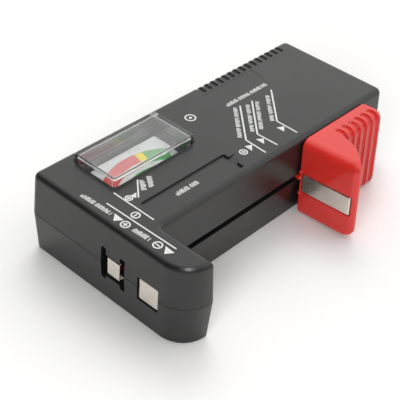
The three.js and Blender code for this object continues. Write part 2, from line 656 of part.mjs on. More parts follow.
function slider() {
  const foot = SLIDER_HEIGHT - SLIDER_FILLET;
  const fillet = [0, 30, 60, 90].map((angle) => sliderLayer(
    SLIDER_FILLET * (1 - Math.cos(angle * DEGREE)), foot + SLIDER_FILLET * Math.sin(angle * DEGREE)));
  const back = [90, 60, 30, 0].map((angle) => sliderLayer(
    SLIDER_FILLET * (1 - Math.cos(angle * DEGREE)), SLIDER_FILLET * (1 - Math.sin(angle * DEGREE)), sliderBackPlan));
  let jaw = loft([...back, ...fillet]);
  const hollow = [-1, SLIDER_HEIGHT - 2.2].map((z) => sliderLayer(0, z, sliderHollowPlan));
  jaw = jaw.subtract(loft(hollow));
  for (let index = 0; index < FINGER_RIB_COUNT; index += 1) {
    const y = FINGER_RIB_START + index * FINGER_RIB_PITCH;
    jaw = jaw.subtract(block([SLIDER_BLOCK - 0.8, y - 0.65, 1.4], [SLIDER_BLOCK + 1, y + 0.65, SLIDER_HEIGHT + 1]));
  }
  const { left, right, low, high, pocket } = STRIP;
  jaw = jaw.subtract(block([left - 0.3, -1, low - 0.3], [right + 0.3, pocket, high + 0.3]));
  for (const height of [6.6, 14.2]) jaw = jaw.add(block([0.2, -0.6, height], [1.2, 0.9, height + 0.9]));
  return leaned(jaw).add(sliderTongue()).subtract(tailChannel());
}

// Flat tongue that runs in the side slot and carries the runner inside the housing.
function sliderTongue() {
  return block(
    [TONGUE.inner, SLIDER_NEAR + TONGUE.near, TONGUE.low],
    [SLIDER_X + 0.1, SLIDER_NEAR + TONGUE.far, TONGUE.high]);
}

const TAIL = { near: 0.15, far: 3.2, low: 11.75, high: 11.95, inner: 16 };

function tailChannel() {
  return block(
    [SLIDER_X - 3, SLIDER_NEAR - 0.2, TAIL.low - 0.35],
    [SLIDER_X + 3, SLIDER_NEAR + TAIL.far + 0.3, TAIL.high + 0.15]);
}

// Bright strip in the front face with a tail that passes under the tongue into the housing.
function sliderContact() {
  const { left, right, low, high, thickness } = STRIP;
  const plate = leaned(block([left, 0.05, low], [right, 0.05 + thickness, high]));
  const tail = block(
    [TAIL.inner, SLIDER_NEAR + TAIL.near, TAIL.low], [SLIDER_X + 1.9, SLIDER_NEAR + TAIL.far, TAIL.high]);
  return plate.add(tail);
}

const RUNNER = { left: 14.6, right: 17.8, near: 6, far: 27.5, low: 8.2, high: 16.4 };

function sliderRunner() {
  const bar = block(
    [RUNNER.left, SLIDER_NEAR + RUNNER.near, RUNNER.low], [RUNNER.right, SLIDER_NEAR + RUNNER.far, RUNNER.high]);
  const groove = block(
    [TONGUE.inner - 0.3, SLIDER_NEAR, TONGUE.low - 0.3], [RUNNER.right + 1, SLIDER_NEAR + 40, TONGUE.high + 0.3]);
  return bar.subtract(groove);
}

// Leaf spring from the contact's tail down to the rail.
function sliderWiper() {
  const y = SLIDER_NEAR;
  const t = 0.3;
  const sideView = [
    [y + 0.4, 11.3], [y + 5.4, 11.3], [y + 5.4, 7.6], [y + 14, 7.6], [y + 20, 3.1], [y + 23, 3.1],
    [y + 23, 3.1 + t], [y + 20.2, 3.1 + t], [y + 14.2, 7.6 + t], [y + 5.4 + t, 7.6 + t],
    [y + 5.4 + t, 11.3 + t], [y + 0.4, 11.3 + t],
  ];
  return bentStrip(sideView, 15.4, 17.2);
}

// ---- Wires and screws ------------------------------------------------------------------------------------------

const WIRE_RADIUS = 0.6;
const WIRE_SIDES = 8;
const UNDER_METER = 3.3;
const ON_BOARD = BOARD_TOP + WIRE_RADIUS + 0.3;
const OVER_EDGE = ON_BOARD + 0.4;
const BOARD_EDGE = BOARD.near - 1.3;
const wireRoutes = [
  { name: "wire_jaw", finish: "wireBlack", steps: 24, points: [
    [24.9, -47.2, 9], [23, -47.2, 7.6], [16, -46.4, 7.4], [9, -45.6, 6.6], [3, -45.4, 4.8],
    [0, -43.6, 3.5], [-1, -38, UNDER_METER], [-2, -12, UNDER_METER], [-4, BOARD_EDGE - 0.7, 5.2], [-4, BOARD_EDGE, OVER_EDGE], [-4, -1.2, ON_BOARD]] },
  { name: "wire_9v_plus", finish: "wireRed", steps: 22, points: [
    [12.4, -49.6, 6], [11, -47.6, 5], [6, -43.6, 3.6], [4, -38, UNDER_METER],
    [3, -12, UNDER_METER], [4, BOARD_EDGE - 0.7, 5.2], [4, BOARD_EDGE, OVER_EDGE], [4, -1.2, ON_BOARD]] },
  { name: "wire_9v_minus", finish: "wireBlack", steps: 22, points: [
    [23.6, -49.3, 5], [20, -49.6, 4], [15, -49.6, 3.4], [11.5, -44, UNDER_METER], [10.5, -38, UNDER_METER],
    [10, -12, UNDER_METER], [8.6, BOARD_EDGE - 0.7, 5.2], [7.8, BOARD_EDGE, OVER_EDGE], [7, -1.2, ON_BOARD]] },
  { name: "wire_rail", finish: "wireRed", steps: 14, points: [
    [13.2, 41.2, 3.8], [12.6, 38, 3.6], [9, 31, 3.6], [3, 26, 4.6], [1.4, 24.3, 5.2], [1, 23.4, OVER_EDGE], [0.5, 20.5, ON_BOARD]] },
  { name: "wire_meter_plus", finish: "wireRed", steps: 8, points: [
    [-9, -7.8, 8.2], [-9, -6.2, 8.6], [-8.4, -4, 8.4], [-8, -1.4, ON_BOARD]] },
  { name: "wire_meter_minus", finish: "wireBlack", steps: 8, points: [
    [0.3, -7.8, 8.2], [0.3, -6.2, 8.6], [0, -4, 8.4], [0, -1.4, ON_BOARD]] },
];

function wire({ points, steps }) {
  const path = new THREE.CatmullRomCurve3(points.map((point) => new THREE.Vector3(...point)), false, "centripetal");
  const section = new THREE.Shape(Array.from({ length: WIRE_SIDES }, (unused, index) =>
    new THREE.Vector2(WIRE_RADIUS, 0).rotateAround(new THREE.Vector2(), (index * 2 * Math.PI) / WIRE_SIDES)));
  return solidOf(new THREE.ExtrudeGeometry(section, { steps, bevelEnabled: false, extrudePath: path }));
}

// Pan-head screw from the back, head in its counterbore.
function caseScrew([x, y]) {
  const seat = HEAD_SEAT - 0.3;
  const profile = [
    [0, 0.7], [HEAD_RADIUS * 0.8, 0.7], [HEAD_RADIUS, 1.1], [HEAD_RADIUS, seat], [SHANK_RADIUS, seat],
    [SHANK_RADIUS, 13.6], [0, 14.4],
  ];
  const screw = turned(x, y, profile, 16);
  const cross = block([x - 1.3, y - 0.25, 0], [x + 1.3, y + 0.25, 1.5])
    .add(block([x - 0.25, y - 1.3, 0], [x + 0.25, y + 1.3, 1.5]));
  return screw.subtract(cross);
}

// ---- Assembly --------------------------------------------------------------------------------------------------

addPiece("top_shell", topShell(), "shell");
addPiece("bottom_shell", bottomShell(), "shell");
addPiece("meter_window", meterWindow(), "clear");
addPiece("meter_case", meterCase(), "meterBase");
addPiece("scale_card", scaleCard(), "card");
addPiece("magnet_core", magnetCore(), "iron");
addPiece("core_bar", coreBar(), "brass");
addPiece("yoke_ring", ring(PIVOT_X, PIVOT_Y, YOKE_OUTER, YOKE_INNER, 8, 16.4), "iron");
addPiece("movement_frame", movementFrame(), "meterBase");
addPiece("lower_bridge", bridge(5.5, 5.7, 6.5), "brass");
addPiece("upper_bridge", bridge(7.6, 21.2, 22), "brass");
addPiece("lower_jewel", jewel(6.9, -1.1), "brass");
addPiece("upper_jewel", jewel(20.95, 1.1), "brass");
addPiece("hairspring", hairspring(), "brass");
addPiece("spring_arm", springArm(), "brass");
for (const { name, x } of TERMINALS) addPiece(name, meterTerminal(x), "brass");

const needleGroup = new THREE.Group();
tester.add(needleGroup);
addPiece("needle", needle(), "needle", needleGroup);
addPiece("moving_coil", movingCoil(), "copper", needleGroup);
addPiece("upper_pivot", upperPivot(), "steel", needleGroup);
addPiece("lower_pivot", lowerPivot(), "steel", needleGroup);

addPiece("contact_9v_plus", plusContact(), "nickel");
addPiece("contact_9v_minus", minusContact(), "nickel");
addPiece("jaw_contact", jawContact(), "nickel");
addPiece("contact_rail", contactRail(), "brass");
addPiece("circuit_board", circuitBoard(), "board");
for (let index = 0; index < RESISTOR.count; index += 1) {
  addPiece(`load_resistor_${index + 1}`, resistor(index), "resistor");
}
for (const route of wireRoutes) addPiece(route.name, wire(route), route.finish);
screwSpots.forEach((spot, index) => addPiece(`case_screw_${index + 1}`, caseScrew(spot), "steel"));

const sliderGroup = new THREE.Group();
tester.add(sliderGroup);
addPiece("slider", slider(), "red", sliderGroup);
addPiece("slider_contact", sliderContact(), "nickel", sliderGroup);
addPiece("slider_runner", sliderRunner(), "shell", sliderGroup);
addPiece("slider_wiper", sliderWiper(), "brass", sliderGroup);

export default tester;
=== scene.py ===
"""Looks for the battery tester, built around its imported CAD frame.

Fine shapes are drawn in millimetres in the row frame, cut with booleans, and scaled to metres when done.
"""

import random
from math import acos, atan2, copysign, cos, pi, radians, sin, tan

import bpy
from mathutils import Matrix, Vector


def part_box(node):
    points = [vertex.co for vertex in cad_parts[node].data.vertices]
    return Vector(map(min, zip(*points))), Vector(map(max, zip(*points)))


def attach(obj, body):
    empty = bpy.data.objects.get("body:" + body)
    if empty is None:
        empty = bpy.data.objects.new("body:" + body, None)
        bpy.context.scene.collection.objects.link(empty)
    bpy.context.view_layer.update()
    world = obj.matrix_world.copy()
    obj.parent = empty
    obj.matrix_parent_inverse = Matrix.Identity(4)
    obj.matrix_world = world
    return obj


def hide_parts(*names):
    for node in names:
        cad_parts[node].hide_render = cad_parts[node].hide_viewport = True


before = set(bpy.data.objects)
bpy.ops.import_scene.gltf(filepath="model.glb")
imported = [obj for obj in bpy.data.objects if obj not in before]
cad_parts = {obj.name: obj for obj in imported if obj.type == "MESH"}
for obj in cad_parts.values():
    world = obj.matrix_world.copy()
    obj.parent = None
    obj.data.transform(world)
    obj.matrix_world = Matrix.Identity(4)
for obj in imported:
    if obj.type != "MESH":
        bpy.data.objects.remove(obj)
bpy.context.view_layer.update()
MM = 0.001
SEED = 11


def box_mm(node):
    low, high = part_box(node)
    return low / MM, high / MM


# ---- Driving dimensions, in millimetres ----

SHELL_LOW, SHELL_HIGH = box_mm("top_shell")
BACK_SHELL_RIM = box_mm("bottom_shell")[1].z
HALF_LENGTH = SHELL_HIGH.y
HALF_WIDTH = -SHELL_LOW.x
JAW_RIGHT = SHELL_HIGH.x
TOP = SHELL_HIGH.z
PARTING_GAP = 0.1
PARTING = BACK_SHELL_RIM + PARTING_GAP / 2
JAW_THICKNESS = 10.84
JAW_FACE = -HALF_LENGTH + JAW_THICKNESS
DRAFT = radians(3.4)
BACK_DRAFT_INSET = 0.9
BODY_CORNER = 2.75
JAW_CORNER = 9.3
JAW_LIP = 1.4
TOP_FILLET = 1.75
BACK_FILLET = 0.5
WALL = 2.0
PARTING_EDGE = 0.05  # chamfer of both rims at the parting line

SLOT_LOW = 11.6
SLOT_HIGH = 13.65
SLOT_FAR = HALF_LENGTH - WALL
SLOT_DEPTH = 3.5

GRIP_COUNT = 15
GRIP_PITCH = 2.6
GRIP_START = 10.4
GRIP_RADIUS = 0.95
GRIP_DEPTH = 0.55
GRIP_REACH = 4.3
GRIP_FOOT = 18.8
SCRIBED_LINE = [(-14.45, 8.2), (-14.45, 30.7), (-9.05, 29.7)]
SCRIBED_RADIUS = 0.3
SCRIBED_DEPTH = 0.1
SCRIBED_BEND = 0.6

# A rectangle is (left, right, low, high) on an upright face and (left, right, near, far) on a flat one.
PANEL = (9.35, 16.95, -41.3, -9.2)
PANEL_RADIUS = 0.45
PANEL_DEPTH = 0.6
PANEL_RAMP = (11.3, 14.6)  # left and right edge
PANEL_RAMP_REACH = 3.2

WINDOW = (-16.25, -0.15, -41.5, -10.7)
WINDOW_TOP = box_mm("meter_window")[1].z
WINDOW_WALL = 0.95
WINDOW_RADIUS = 0.9
WINDOW_EDGE = 0.35
WINDOW_CLEARANCE = 0.3
SKIRT_TOP = 23.3  # the window's skirt lies under the top shell
SKIRT_WALL = 1.0

CARD_LOW, CARD_HIGH = box_mm("scale_card")
PIVOT = (7.55, -25.0)
NEEDLE_REST = 42  # degrees
INK_SINK = 0.02
INK_RISE = 0.03

PLUS_HOLE = (8.05, 16.75, 8.45, 15.85)
PLUS_SLOTS = [(8.05, 9.85, 7.2, 17.8), (14.95, 16.75, 7.2, 17.8)]
PLUS_TONGUE = box_mm("contact_9v_plus")
MINUS_HOLE = (21.4, 28.8, 8.3, 15.9)
MINUS_PLATE = (21.8, 28.4, 8.8, 15.6)
MINUS_SINK = 0.6
JAW_PLATE = (22.3, 36.3, 7.8, 13.7)
JAW_TAIL = (23.4, 26.4, 10.0, 10.5)
JAW_POCKET_DEPTH = 0.85
POCKET_GAP = 0.3  # round a contact plate in its pocket
HOLE_RADIUS = 0.35

SCREWS = [(-14.6, -48.0), (-14.6, 48.0), (9.6, 48.0), (30.4, -48.58)]
BOSS_JOIN = 5.2  # height where the two shells' bosses meet
BOSS_GAP = 0.15
BOSS_SINK = 0.5  # how far a boss runs into its wall
BORE_REACH = 3  # of the screws' holes above the parting line
TOP_BOSS_RADIUS = 2.5
BACK_BOSS_RADIUS = 3.5
SCREW_HOLE = 2.75
SCREW_HOLE_EDGE = 0.4
SHANK_HOLE = 1.45
HEAD_SEAT = 2.8

SLIDER_NEAR = 12.93
SLIDER_LENGTH = 30.5
SLIDER_DEPTH = 19.7
SLIDER_HEIGHT = 24.7
SLIDER_LOW = 0.3
SLIDER_GAP = 0.3
SLIDER_TIP = 2.2  # thickness of the jaw wall at its outer end
SLIDER_ROOT = 10.8  # and where it meets the finger block
SLIDER_BULGE = (12.9, 8.7)  # place of the soft bend in the jaw wall's back
SLIDER_BLOCK = 7.2  # depth of the finger block
SLIDER_WALL = 1.9
SLIDER_CEILING = 2.2
SLIDER_FILLET = 2.6
WING_SHARE = 0.12  # share of the top fillet that the jaw wall's back takes
SLIDER_BACK_SHARE = 0.22  # at the back every edge but the wall's tip takes this share of its top share
RIB_COUNT = 6
RIB_PITCH = 3.06
RIB_START = 12.0
RIB_RADIUS = 0.95
RIB_DEPTH = 0.75
RIB_TOP_REACH = 4.2
NIB_HEIGHTS = (6.6, 14.2)
NIB_SPAN = (0.15, 1.15)
NIB_SIZE = 0.9
NIB_SINK = 0.9
NIB_STAND = 0.55
TONGUE_LEFT = 16.3
TONGUE_LENGTH = 28.5
TONGUE_HEIGHTS = (12.15, 13.35)
TAIL_HEIGHTS = (11.75, 11.95)
TAIL_CHANNEL = (11.4, 12.1)  # heights of the tail's channel under the tongue
STRIP = (1.25, 18.4, 7.8, 13.7)
STRIP_POCKET = 0.7
STRIP_CURL_POCKET = 1.6
STRIP_CURL = 0.5  # how far the curl's pocket reaches under the strip
STRIP_THICKNESS = 0.45
STRIP_STAND = 0.05  # how far behind the slider's front the strip's face lies
SLIDER_X = HALF_WIDTH + SLIDER_GAP / cos(DRAFT) + (PARTING - SLIDER_LOW) * tan(DRAFT)
LEAN = Matrix.Translation((SLIDER_X, SLIDER_NEAR, SLIDER_LOW)) @ Matrix.Rotation(-DRAFT, 4, "Y")

CORNER_STEPS = 10
MIN_RADIUS = 0.2
ARC_CLEARANCE = 0.05  # least length left straight between two rounded corners
OVERCUT = 1  # how far a cutter reaches past what it opens into
HAIR = 0.01  # smallest chamfer of a cutter
FILLET_ANGLES = [radians(a) for a in (0, 11, 22.5, 34, 45, 56, 67.5, 79, 90)]
NOISE_LOW, NOISE_HIGH = 0.3, 0.7  # nearly all of a noise texture's values lie between these


# ---- Outlines ----

def cross2(a, b):
    return a.x * b.y - a.y * b.x


def turned2(v, angle):
    c, s = cos(angle), sin(angle)
    return Vector((v.x * c - v.y * s, v.x * s + v.y * c))


def plan_outline(corners, inset=0.0, steps=CORNER_STEPS):
    """Anticlockwise outline of corners (x, y, radius, follow), moved inwards by inset.

    Every inset gives as many points. follow is the share of the inset that the edge leaving the corner takes.
    Where two rounded corners would run into each other, the larger one gives way.
    """
    count = len(corners)
    bends = []
    for i, (x, y, radius, follow) in enumerate(corners):
        before, after = corners[i - 1], corners[(i + 1) % count]
        into = Vector((x - before[0], y - before[1])).normalized()
        away = Vector((after[0] - x, after[1] - y)).normalized()
        inset_in, inset_out = inset * before[3], inset * follow
        turn = cross2(into, away)
        spot = Vector((x, y)) + (away * inset_in - into * inset_out) / turn
        side = copysign(1, turn)
        angle = acos(max(-1, min(1, into.dot(away))))
        bent = max(radius - side * min(inset_in, inset_out), MIN_RADIUS)
        bends.append({"spot": spot, "into": into, "side": side, "angle": angle,
                      "reach": bent * tan(angle / 2)})
    for i, here in enumerate(bends):
        after = bends[(i + 1) % count]
        room = (here["spot"] - after["spot"]).length - ARC_CLEARANCE
        if here["reach"] + after["reach"] > room:
            larger, smaller = (here, after) if here["reach"] > after["reach"] else (after, here)
            larger["reach"] = room - smaller["reach"]
    points = []
    for spot, into, side, angle, reach in (bend.values() for bend in bends):
        radius = reach / tan(angle / 2)
        start = spot - into * reach
        centre = start + Vector((-into.y, into.x)) * side * radius
        points += [centre + turned2(start - centre, side * angle * k / steps) for k in range(steps + 1)]
    return points


def grown(rect, margin):
    left, right, near, far = rect
    return left - margin, right + margin, near - margin, far + margin


def mirrored(rect):
    left, right, near, far = rect
    return -right, -left, near, far


def rectangle(left, right, near, far, radius):
    spots = ((left, near), (right, near), (right, far), (left, far))
    return [(x, y, radius, 1) for x, y in spots]


def ring_points(x, y, radius, sides, start=0.0):
    angles = [start + 2 * pi * k / sides for k in range(sides)]
    return [Vector((x + radius * cos(a), y + radius * sin(a))) for a in angles]


# ---- Meshes ----

def mesh_object(name, points, faces):
    """A drawn piece, still in millimetres."""
    mesh = bpy.data.meshes.new(name)
    mesh.from_pydata([tuple(p) for p in points], [], faces)
    piece = bpy.data.objects.new(name, mesh)
    bpy.context.scene.collection.objects.link(piece)
    return piece


def skin(rings, closed_ends=True):
    """Points and faces of a skin through rings with as many points each."""
    count = len(rings[0])
    points = [p for ring in rings for p in ring]
    faces = []
    for layer in range(len(rings) - 1):
        low, high = layer * count, (layer + 1) * count
        for i in range(count):
            j = (i + 1) % count
            faces.append((low + i, low + j, high + j, high + i))
    if closed_ends:
        faces.append(tuple(reversed(range(count))))
        faces.append(tuple(range(len(points) - count, len(points))))
    return points, faces


def loft(layers, name="loft"):
    """Closed solid through (outline, z) layers, from the lowest up."""
    return mesh_object(name, *skin([[(p.x, p.y, z) for p in outline] for outline, z in layers]))


def tangents_of(path):
    steps = [(b - a).normalized() for a, b in zip(path, path[1:])]
    return [steps[0]] + [(a + b).normalized() for a, b in zip(steps, steps[1:])] + [steps[-1]]


def tube(path, radius, name="tube", sides=24, cap_steps=5):
    """Rod along a path of points, with ball ends."""
    path = [Vector(p) for p in path]
    tangents = tangents_of(path)
    first, last = tangents[0], tangents[-1]
    caps = [pi / 2 * k / cap_steps for k in range(1, cap_steps)]
    stations = [(path[0] - first * radius * cos(a), first, radius * sin(a)) for a in caps]
    stations += [(point, tangent, radius) for point, tangent in zip(path, tangents)]
    stations += [(path[-1] + last * radius * cos(a), last, radius * sin(a)) for a in caps[::-1]]
    across = first.orthogonal()
    angles = [2 * pi * k / sides for k in range(sides)]
    rings = []
    for centre, tangent, size in stations:
        across = (across - tangent * across.dot(tangent)).normalized()
        other = tangent.cross(across)
        rings.append([centre + (across * cos(a) + other * sin(a)) * size for a in angles])
    return mesh_object(name, *skin(rings))


def moved(piece, matrix):
    piece.data.transform(matrix)
    return piece


def settle(piece):
    """Applies every modifier of a drawn piece to its mesh."""
    bpy.context.view_layer.update()
    evaluated = piece.evaluated_get(bpy.context.evaluated_depsgraph_get())
    mesh = bpy.data.meshes.new_from_object(evaluated)
    piece.modifiers.clear()
    piece.data = mesh
    return piece


def joined(piece, tools, operation):
    """A drawn piece after one boolean with each tool, which are used up."""
    for tool in tools:
        step = piece.modifiers.new("step", "BOOLEAN")
        step.operation = operation
        step.object = tool
        step.solver = "MANIFOLD"
    settle(piece)
    for tool in tools:
        bpy.data.objects.remove(tool)
    return piece


def cut(piece, tools):
    return joined(piece, tools, "DIFFERENCE")


def add(piece, tools):
    return joined(piece, tools, "UNION")


# Axes of a drawing plane as (across, up, out): the near face, the jaw's inner face and the right side.
FACING_NEAR = Matrix(((1, 0, 0), (0, 0, -1), (0, 1, 0))).to_4x4()
FACING_FAR = Matrix(((-1, 0, 0), (0, 0, 1), (0, 1, 0))).to_4x4()
FACING_RIGHT = Matrix(((0, 0, 1), (1, 0, 0), (0, 1, 0))).to_4x4()


def pocket(rect, radius, floor, surface, lip=0.15, draft=0.05, steps=5):
    """Cutter for a rounded rectangular recess from above, with a chamfered mouth."""
    corners = rectangle(*rect, radius)
    head = surface + 1.5 * OVERCUT
    layers = [(draft, floor), (0, surface - lip), (-lip, surface), (-lip, head)]
    return loft([(plan_outline(corners, inset, steps), z) for inset, z in layers])


def plate(rect, radius, low, high, edge=0.08, steps=5, name="plate"):
    """Rounded rectangular block with chamfered faces."""
    corners = rectangle(*rect, radius)
    layers = [(edge, low), (0, low + edge), (0, high - edge), (edge, high)]
    return loft([(plan_outline(corners, inset, steps), z) for inset, z in layers], name)


def drum(x, y, profile, sides=32, name="drum"):
    """Closed turned solid from (radius, z) points, from the lowest up."""
    return loft([(ring_points(x, y, radius, sides), z) for radius, z in profile], name)


def strip(path, thickness, left, right, name):
    """Bent strip across X: its left surface in side view as (y, z) points, thickened towards +Y."""
    path = [Vector(p) for p in path]
    inner = [p + Vector((t.y, -t.x)) * thickness for p, t in zip(path, tangents_of(path))]
    loop = path + inner[::-1]
    rings = [[(x, p.x, p.y) for p in loop] for x in (left, right)]
    return mesh_object(name, *skin(rings))


def eased(points, radius, steps=6):
    """The same path with its inner corners rounded."""
    points = [Vector(p) for p in points]
    out = [points[0]]
    for before, here, after in zip(points, points[1:], points[2:]):
        back, on = before - here, after - here
        reach = min(radius, back.length / 2, on.length / 2)
        a, b = here + back.normalized() * reach, here + on.normalized() * reach
        for k in range(steps + 1):
            t = k / steps
            out.append(a * (1 - t) ** 2 + here * 2 * t * (1 - t) + b * t ** 2)
    return out + [points[-1]]


def rounded(piece, width, segments=2, angle=35):
    bevel = piece.modifiers.new("edges", "BEVEL")
    bevel.width = width
    bevel.segments = segments
    bevel.limit_method = "ANGLE"
    bevel.angle_limit = radians(angle)
    return settle(piece)


def finished(piece, name, slot, replaces=(), sharp=32, material=None, body="housing"):
    """Scales a drawn piece to metres, shades it, parents it to its body's empty and hides the CAD nodes it
    replaces.

    Its material is the slot's own look unless another is given.
    """
    piece.name = name
    piece.data.name = name
    piece.data.transform(Matrix.Scale(MM, 4))
    piece.data.shade_smooth()
    piece.data.set_sharp_from_angle(angle=radians(sharp))
    weighted = piece.modifiers.new("normals", "WEIGHTED_NORMAL")
    weighted.keep_sharp = True
    weighted.weight = 80
    piece.data.materials.clear()
    piece.data.materials.append(material or LOOKS[slot])
    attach(piece, body)
    if replaces:
        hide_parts(*replaces)
    return piece


# ---- Materials ----

class Finish:
    """A Principled material with its texture coordinates in metres."""

    def __init__(self, name):
        self.material = bpy.data.materials.new(name)
        self.material.use_nodes = True
        self.nodes = self.material.node_tree.nodes
        self.links = self.material.node_tree.links
        self.shader = self.nodes["Principled BSDF"]
        self.output = self.nodes["Material Output"]
        self.place = self.nodes.new("ShaderNodeTexCoord").outputs["Object"]

    def set(self, **values):
        for key, value in values.items():
            self.shader.inputs[key.replace("_", " ")].default_value = value
        return self

    def noise(self, size, detail=3.0, stretch=(1, 1, 1), distortion=0.0):
        """Noise with features about size metres across."""
        mapping = self.nodes.new("ShaderNodeMapping")
        mapping.inputs["Scale"].default_value = stretch
        self.links.new(self.place, mapping.inputs["Vector"])
        texture = self.nodes.new("ShaderNodeTexNoise")
        texture.inputs["Scale"].default_value = 1 / size
        texture.inputs["Detail"].default_value = detail
        texture.inputs["Distortion"].default_value = distortion
        self.links.new(mapping.outputs["Vector"], texture.inputs["Vector"])
        return texture.outputs["Fac"]

    def blend(self, value, low, high, start=NOISE_LOW, stop=NOISE_HIGH):
        """Two colours by a value."""
        ramp = self.nodes.new("ShaderNodeValToRGB")
        ramp.color_ramp.elements[0].position = start
        ramp.color_ramp.elements[1].position = stop
        ramp.color_ramp.elements[0].color = (*low, 1)
        ramp.color_ramp.elements[1].color = (*high, 1)
        self.links.new(value, ramp.inputs["Fac"])
        return ramp.outputs["Color"]

    def spread(self, value, low, high):
        """A number from low to high by a noise value."""
        reach = self.nodes.new("ShaderNodeMapRange")
        reach.inputs["From Min"].default_value = NOISE_LOW
        reach.inputs["From Max"].default_value = NOISE_HIGH
        reach.inputs["To Min"].default_value = low
        reach.inputs["To Max"].default_value = high
        self.links.new(value, reach.inputs["Value"])
        return reach.outputs["Result"]

    def drive(self, socket, value):
        self.links.new(value, self.shader.inputs[socket])
        return self

    def relief(self, value, height, edge=0.0):
        """Bump of a height in metres, over edges rounded by a small radius."""
        bump = self.nodes.new("ShaderNodeBump")
        bump.inputs["Distance"].default_value = height
        bump.inputs["Strength"].default_value = 1.0
        self.links.new(value, bump.inputs["Height"])
        if edge:
            bevel = self.nodes.new("ShaderNodeBevel")
            bevel.samples = 6
            bevel.inputs["Radius"].default_value = edge
            self.links.new(bevel.outputs["Normal"], bump.inputs["Normal"])
        self.links.new(bump.outputs["Normal"], self.shader.inputs["Normal"])
        return self


def shade(color, factor):
    return tuple(min(1, c * factor) for c in color)


def moulded(name, color, roughness, variation=0.12, grain=0.00025, height=0.000004, edge=0.0, specular=0.5):
    """Moulded plastic: faint mottling, uneven gloss and a fine grain."""
    finish = Finish(name).set(Specular_IOR_Level=specular)
    mottle = finish.noise(0.018, 4)
    finish.drive("Base Color", finish.blend(mottle, shade(color, 1 - variation), shade(color, 1 + variation)))
    gloss = finish.noise(0.004, 5)
    finish.drive("Roughness", finish.spread(gloss, roughness * 0.9, roughness * 1.12))
    finish.relief(finish.noise(grain, 2), height, edge)
    return finish.material


def metal(name, color, roughness, stretch=(1, 1, 1), scratch=0.0006, height=0.0000012, variation=0.08):
    """Plated or bare metal with fine drawn scratches and faint staining."""
    finish = Finish(name).set(Metallic=1.0)
    stain = finish.noise(0.003, 4)
    finish.drive("Base Color", finish.blend(stain, shade(color, 1 - variation), shade(color, 1 + variation)))
    lines = finish.noise(scratch, 4, stretch)
    finish.drive("Roughness", finish.spread(lines, roughness * 0.75, roughness * 1.3))
    finish.relief(lines, height)
    return finish.material


def printed(name, color, roughness=0.45, variation=0.06):
    """Printed ink: thin, a little uneven, with specks where it missed the grain."""
    finish = Finish(name).set(Specular_IOR_Level=0.15)
    specks = finish.noise(0.0002, 3)
    finish.drive("Base Color", finish.blend(specks, shade(color, 1 - variation * 2.5), color, 0.28, 0.5))
    finish.drive("Roughness", finish.spread(finish.noise(0.002, 2), roughness * 0.85, roughness * 1.15))
    finish.relief(specks, 0.000004)
    return finish.material


def clear(name, tint, roughness, haze):
    """Clear moulded plastic that lets lamp light through, with a faint haze of fine scuffs."""
    finish = Finish(name).set(Transmission_Weight=1.0, IOR=1.49, Base_Color=(*tint, 1))
    scuffs = finish.noise(0.0035, 6, (1, 1, 1), 0.6)
    finish.drive("Roughness", finish.spread(scuffs, roughness * 0.5, roughness * 1.5))
    finish.relief(finish.noise(0.006, 2), 0.000006)
    veil = finish.nodes.new("ShaderNodeBsdfDiffuse")
    finish.links.new(finish.blend(scuffs, (0.5, 0.5, 0.49), (0.62, 0.62, 0.61)), veil.inputs["Color"])
    body = finish.nodes.new("ShaderNodeMixShader")
    body.inputs["Fac"].default_value = haze
    finish.links.new(finish.shader.outputs["BSDF"], body.inputs[1])
    finish.links.new(veil.outputs["BSDF"], body.inputs[2])
    through = finish.nodes.new("ShaderNodeBsdfTransparent")
    through.inputs["Color"].default_value = (0.86, 0.87, 0.87, 1)
    path = finish.nodes.new("ShaderNodeLightPath")
    choice = finish.nodes.new("ShaderNodeMixShader")
    finish.links.new(path.outputs["Is Shadow Ray"], choice.inputs["Fac"])
    finish.links.new(body.outputs["Shader"], choice.inputs[1])
    finish.links.new(through.outputs["BSDF"], choice.inputs[2])
    finish.links.new(choice.outputs["Shader"], finish.output.inputs["Surface"])
    return finish.material


SHELL_BLACK = (0.0095, 0.0094, 0.0091)
LOOKS = {
    "shell": moulded("shell_plastic", SHELL_BLACK, 0.33, 0.06, 0.0003, edge=0.00018, specular=0.55),
    "clear_plastic": clear("clear_plastic", (0.97, 0.98, 0.98), 0.05, 0.01),
    "meter_base": moulded("meter_base_plastic", (0.42, 0.43, 0.43), 0.5, 0.06),
    "card": printed("card_paper", (0.49, 0.49, 0.485), 0.6, 0.02),
    "needle": moulded("needle_paint", (0.014, 0.014, 0.014), 0.4, 0.2),
    "red_plastic": moulded("red_plastic", (0.66, 0.028, 0.021), 0.1, 0.05, 0.0012, 0.0000025, edge=0.0003),
    "nickel": metal("nickel_plate", (0.77, 0.71, 0.635), 0.27, (1, 1, 14)),
    "brass": metal("brass_strip", (0.62, 0.44, 0.17), 0.33, (1, 12, 1)),
    "iron": metal("plain_iron", (0.24, 0.235, 0.23), 0.48, (1, 1, 6)),
    "copper": metal("enamelled_copper", (0.55, 0.20, 0.09), 0.3, (1, 1, 20), 0.0008, 0.00001),
    "board": moulded("phenolic_board", (0.30, 0.155, 0.055), 0.55, 0.2, 0.0008, 0.00001),
    "resistor": moulded("resistor_lacquer", (0.58, 0.43, 0.22), 0.3, 0.12),
    "wire_red": moulded("wire_red_cover", (0.42, 0.018, 0.014), 0.35, 0.12),
    "wire_black": moulded("wire_black_cover", (0.016, 0.016, 0.016), 0.35, 0.2),
    "screw_steel": metal("zinc_plated_steel", (0.52, 0.52, 0.51), 0.3, (1, 1, 5)),
}
INK = printed("white_ink", (0.66, 0.67, 0.66))


# ---- Housing ----

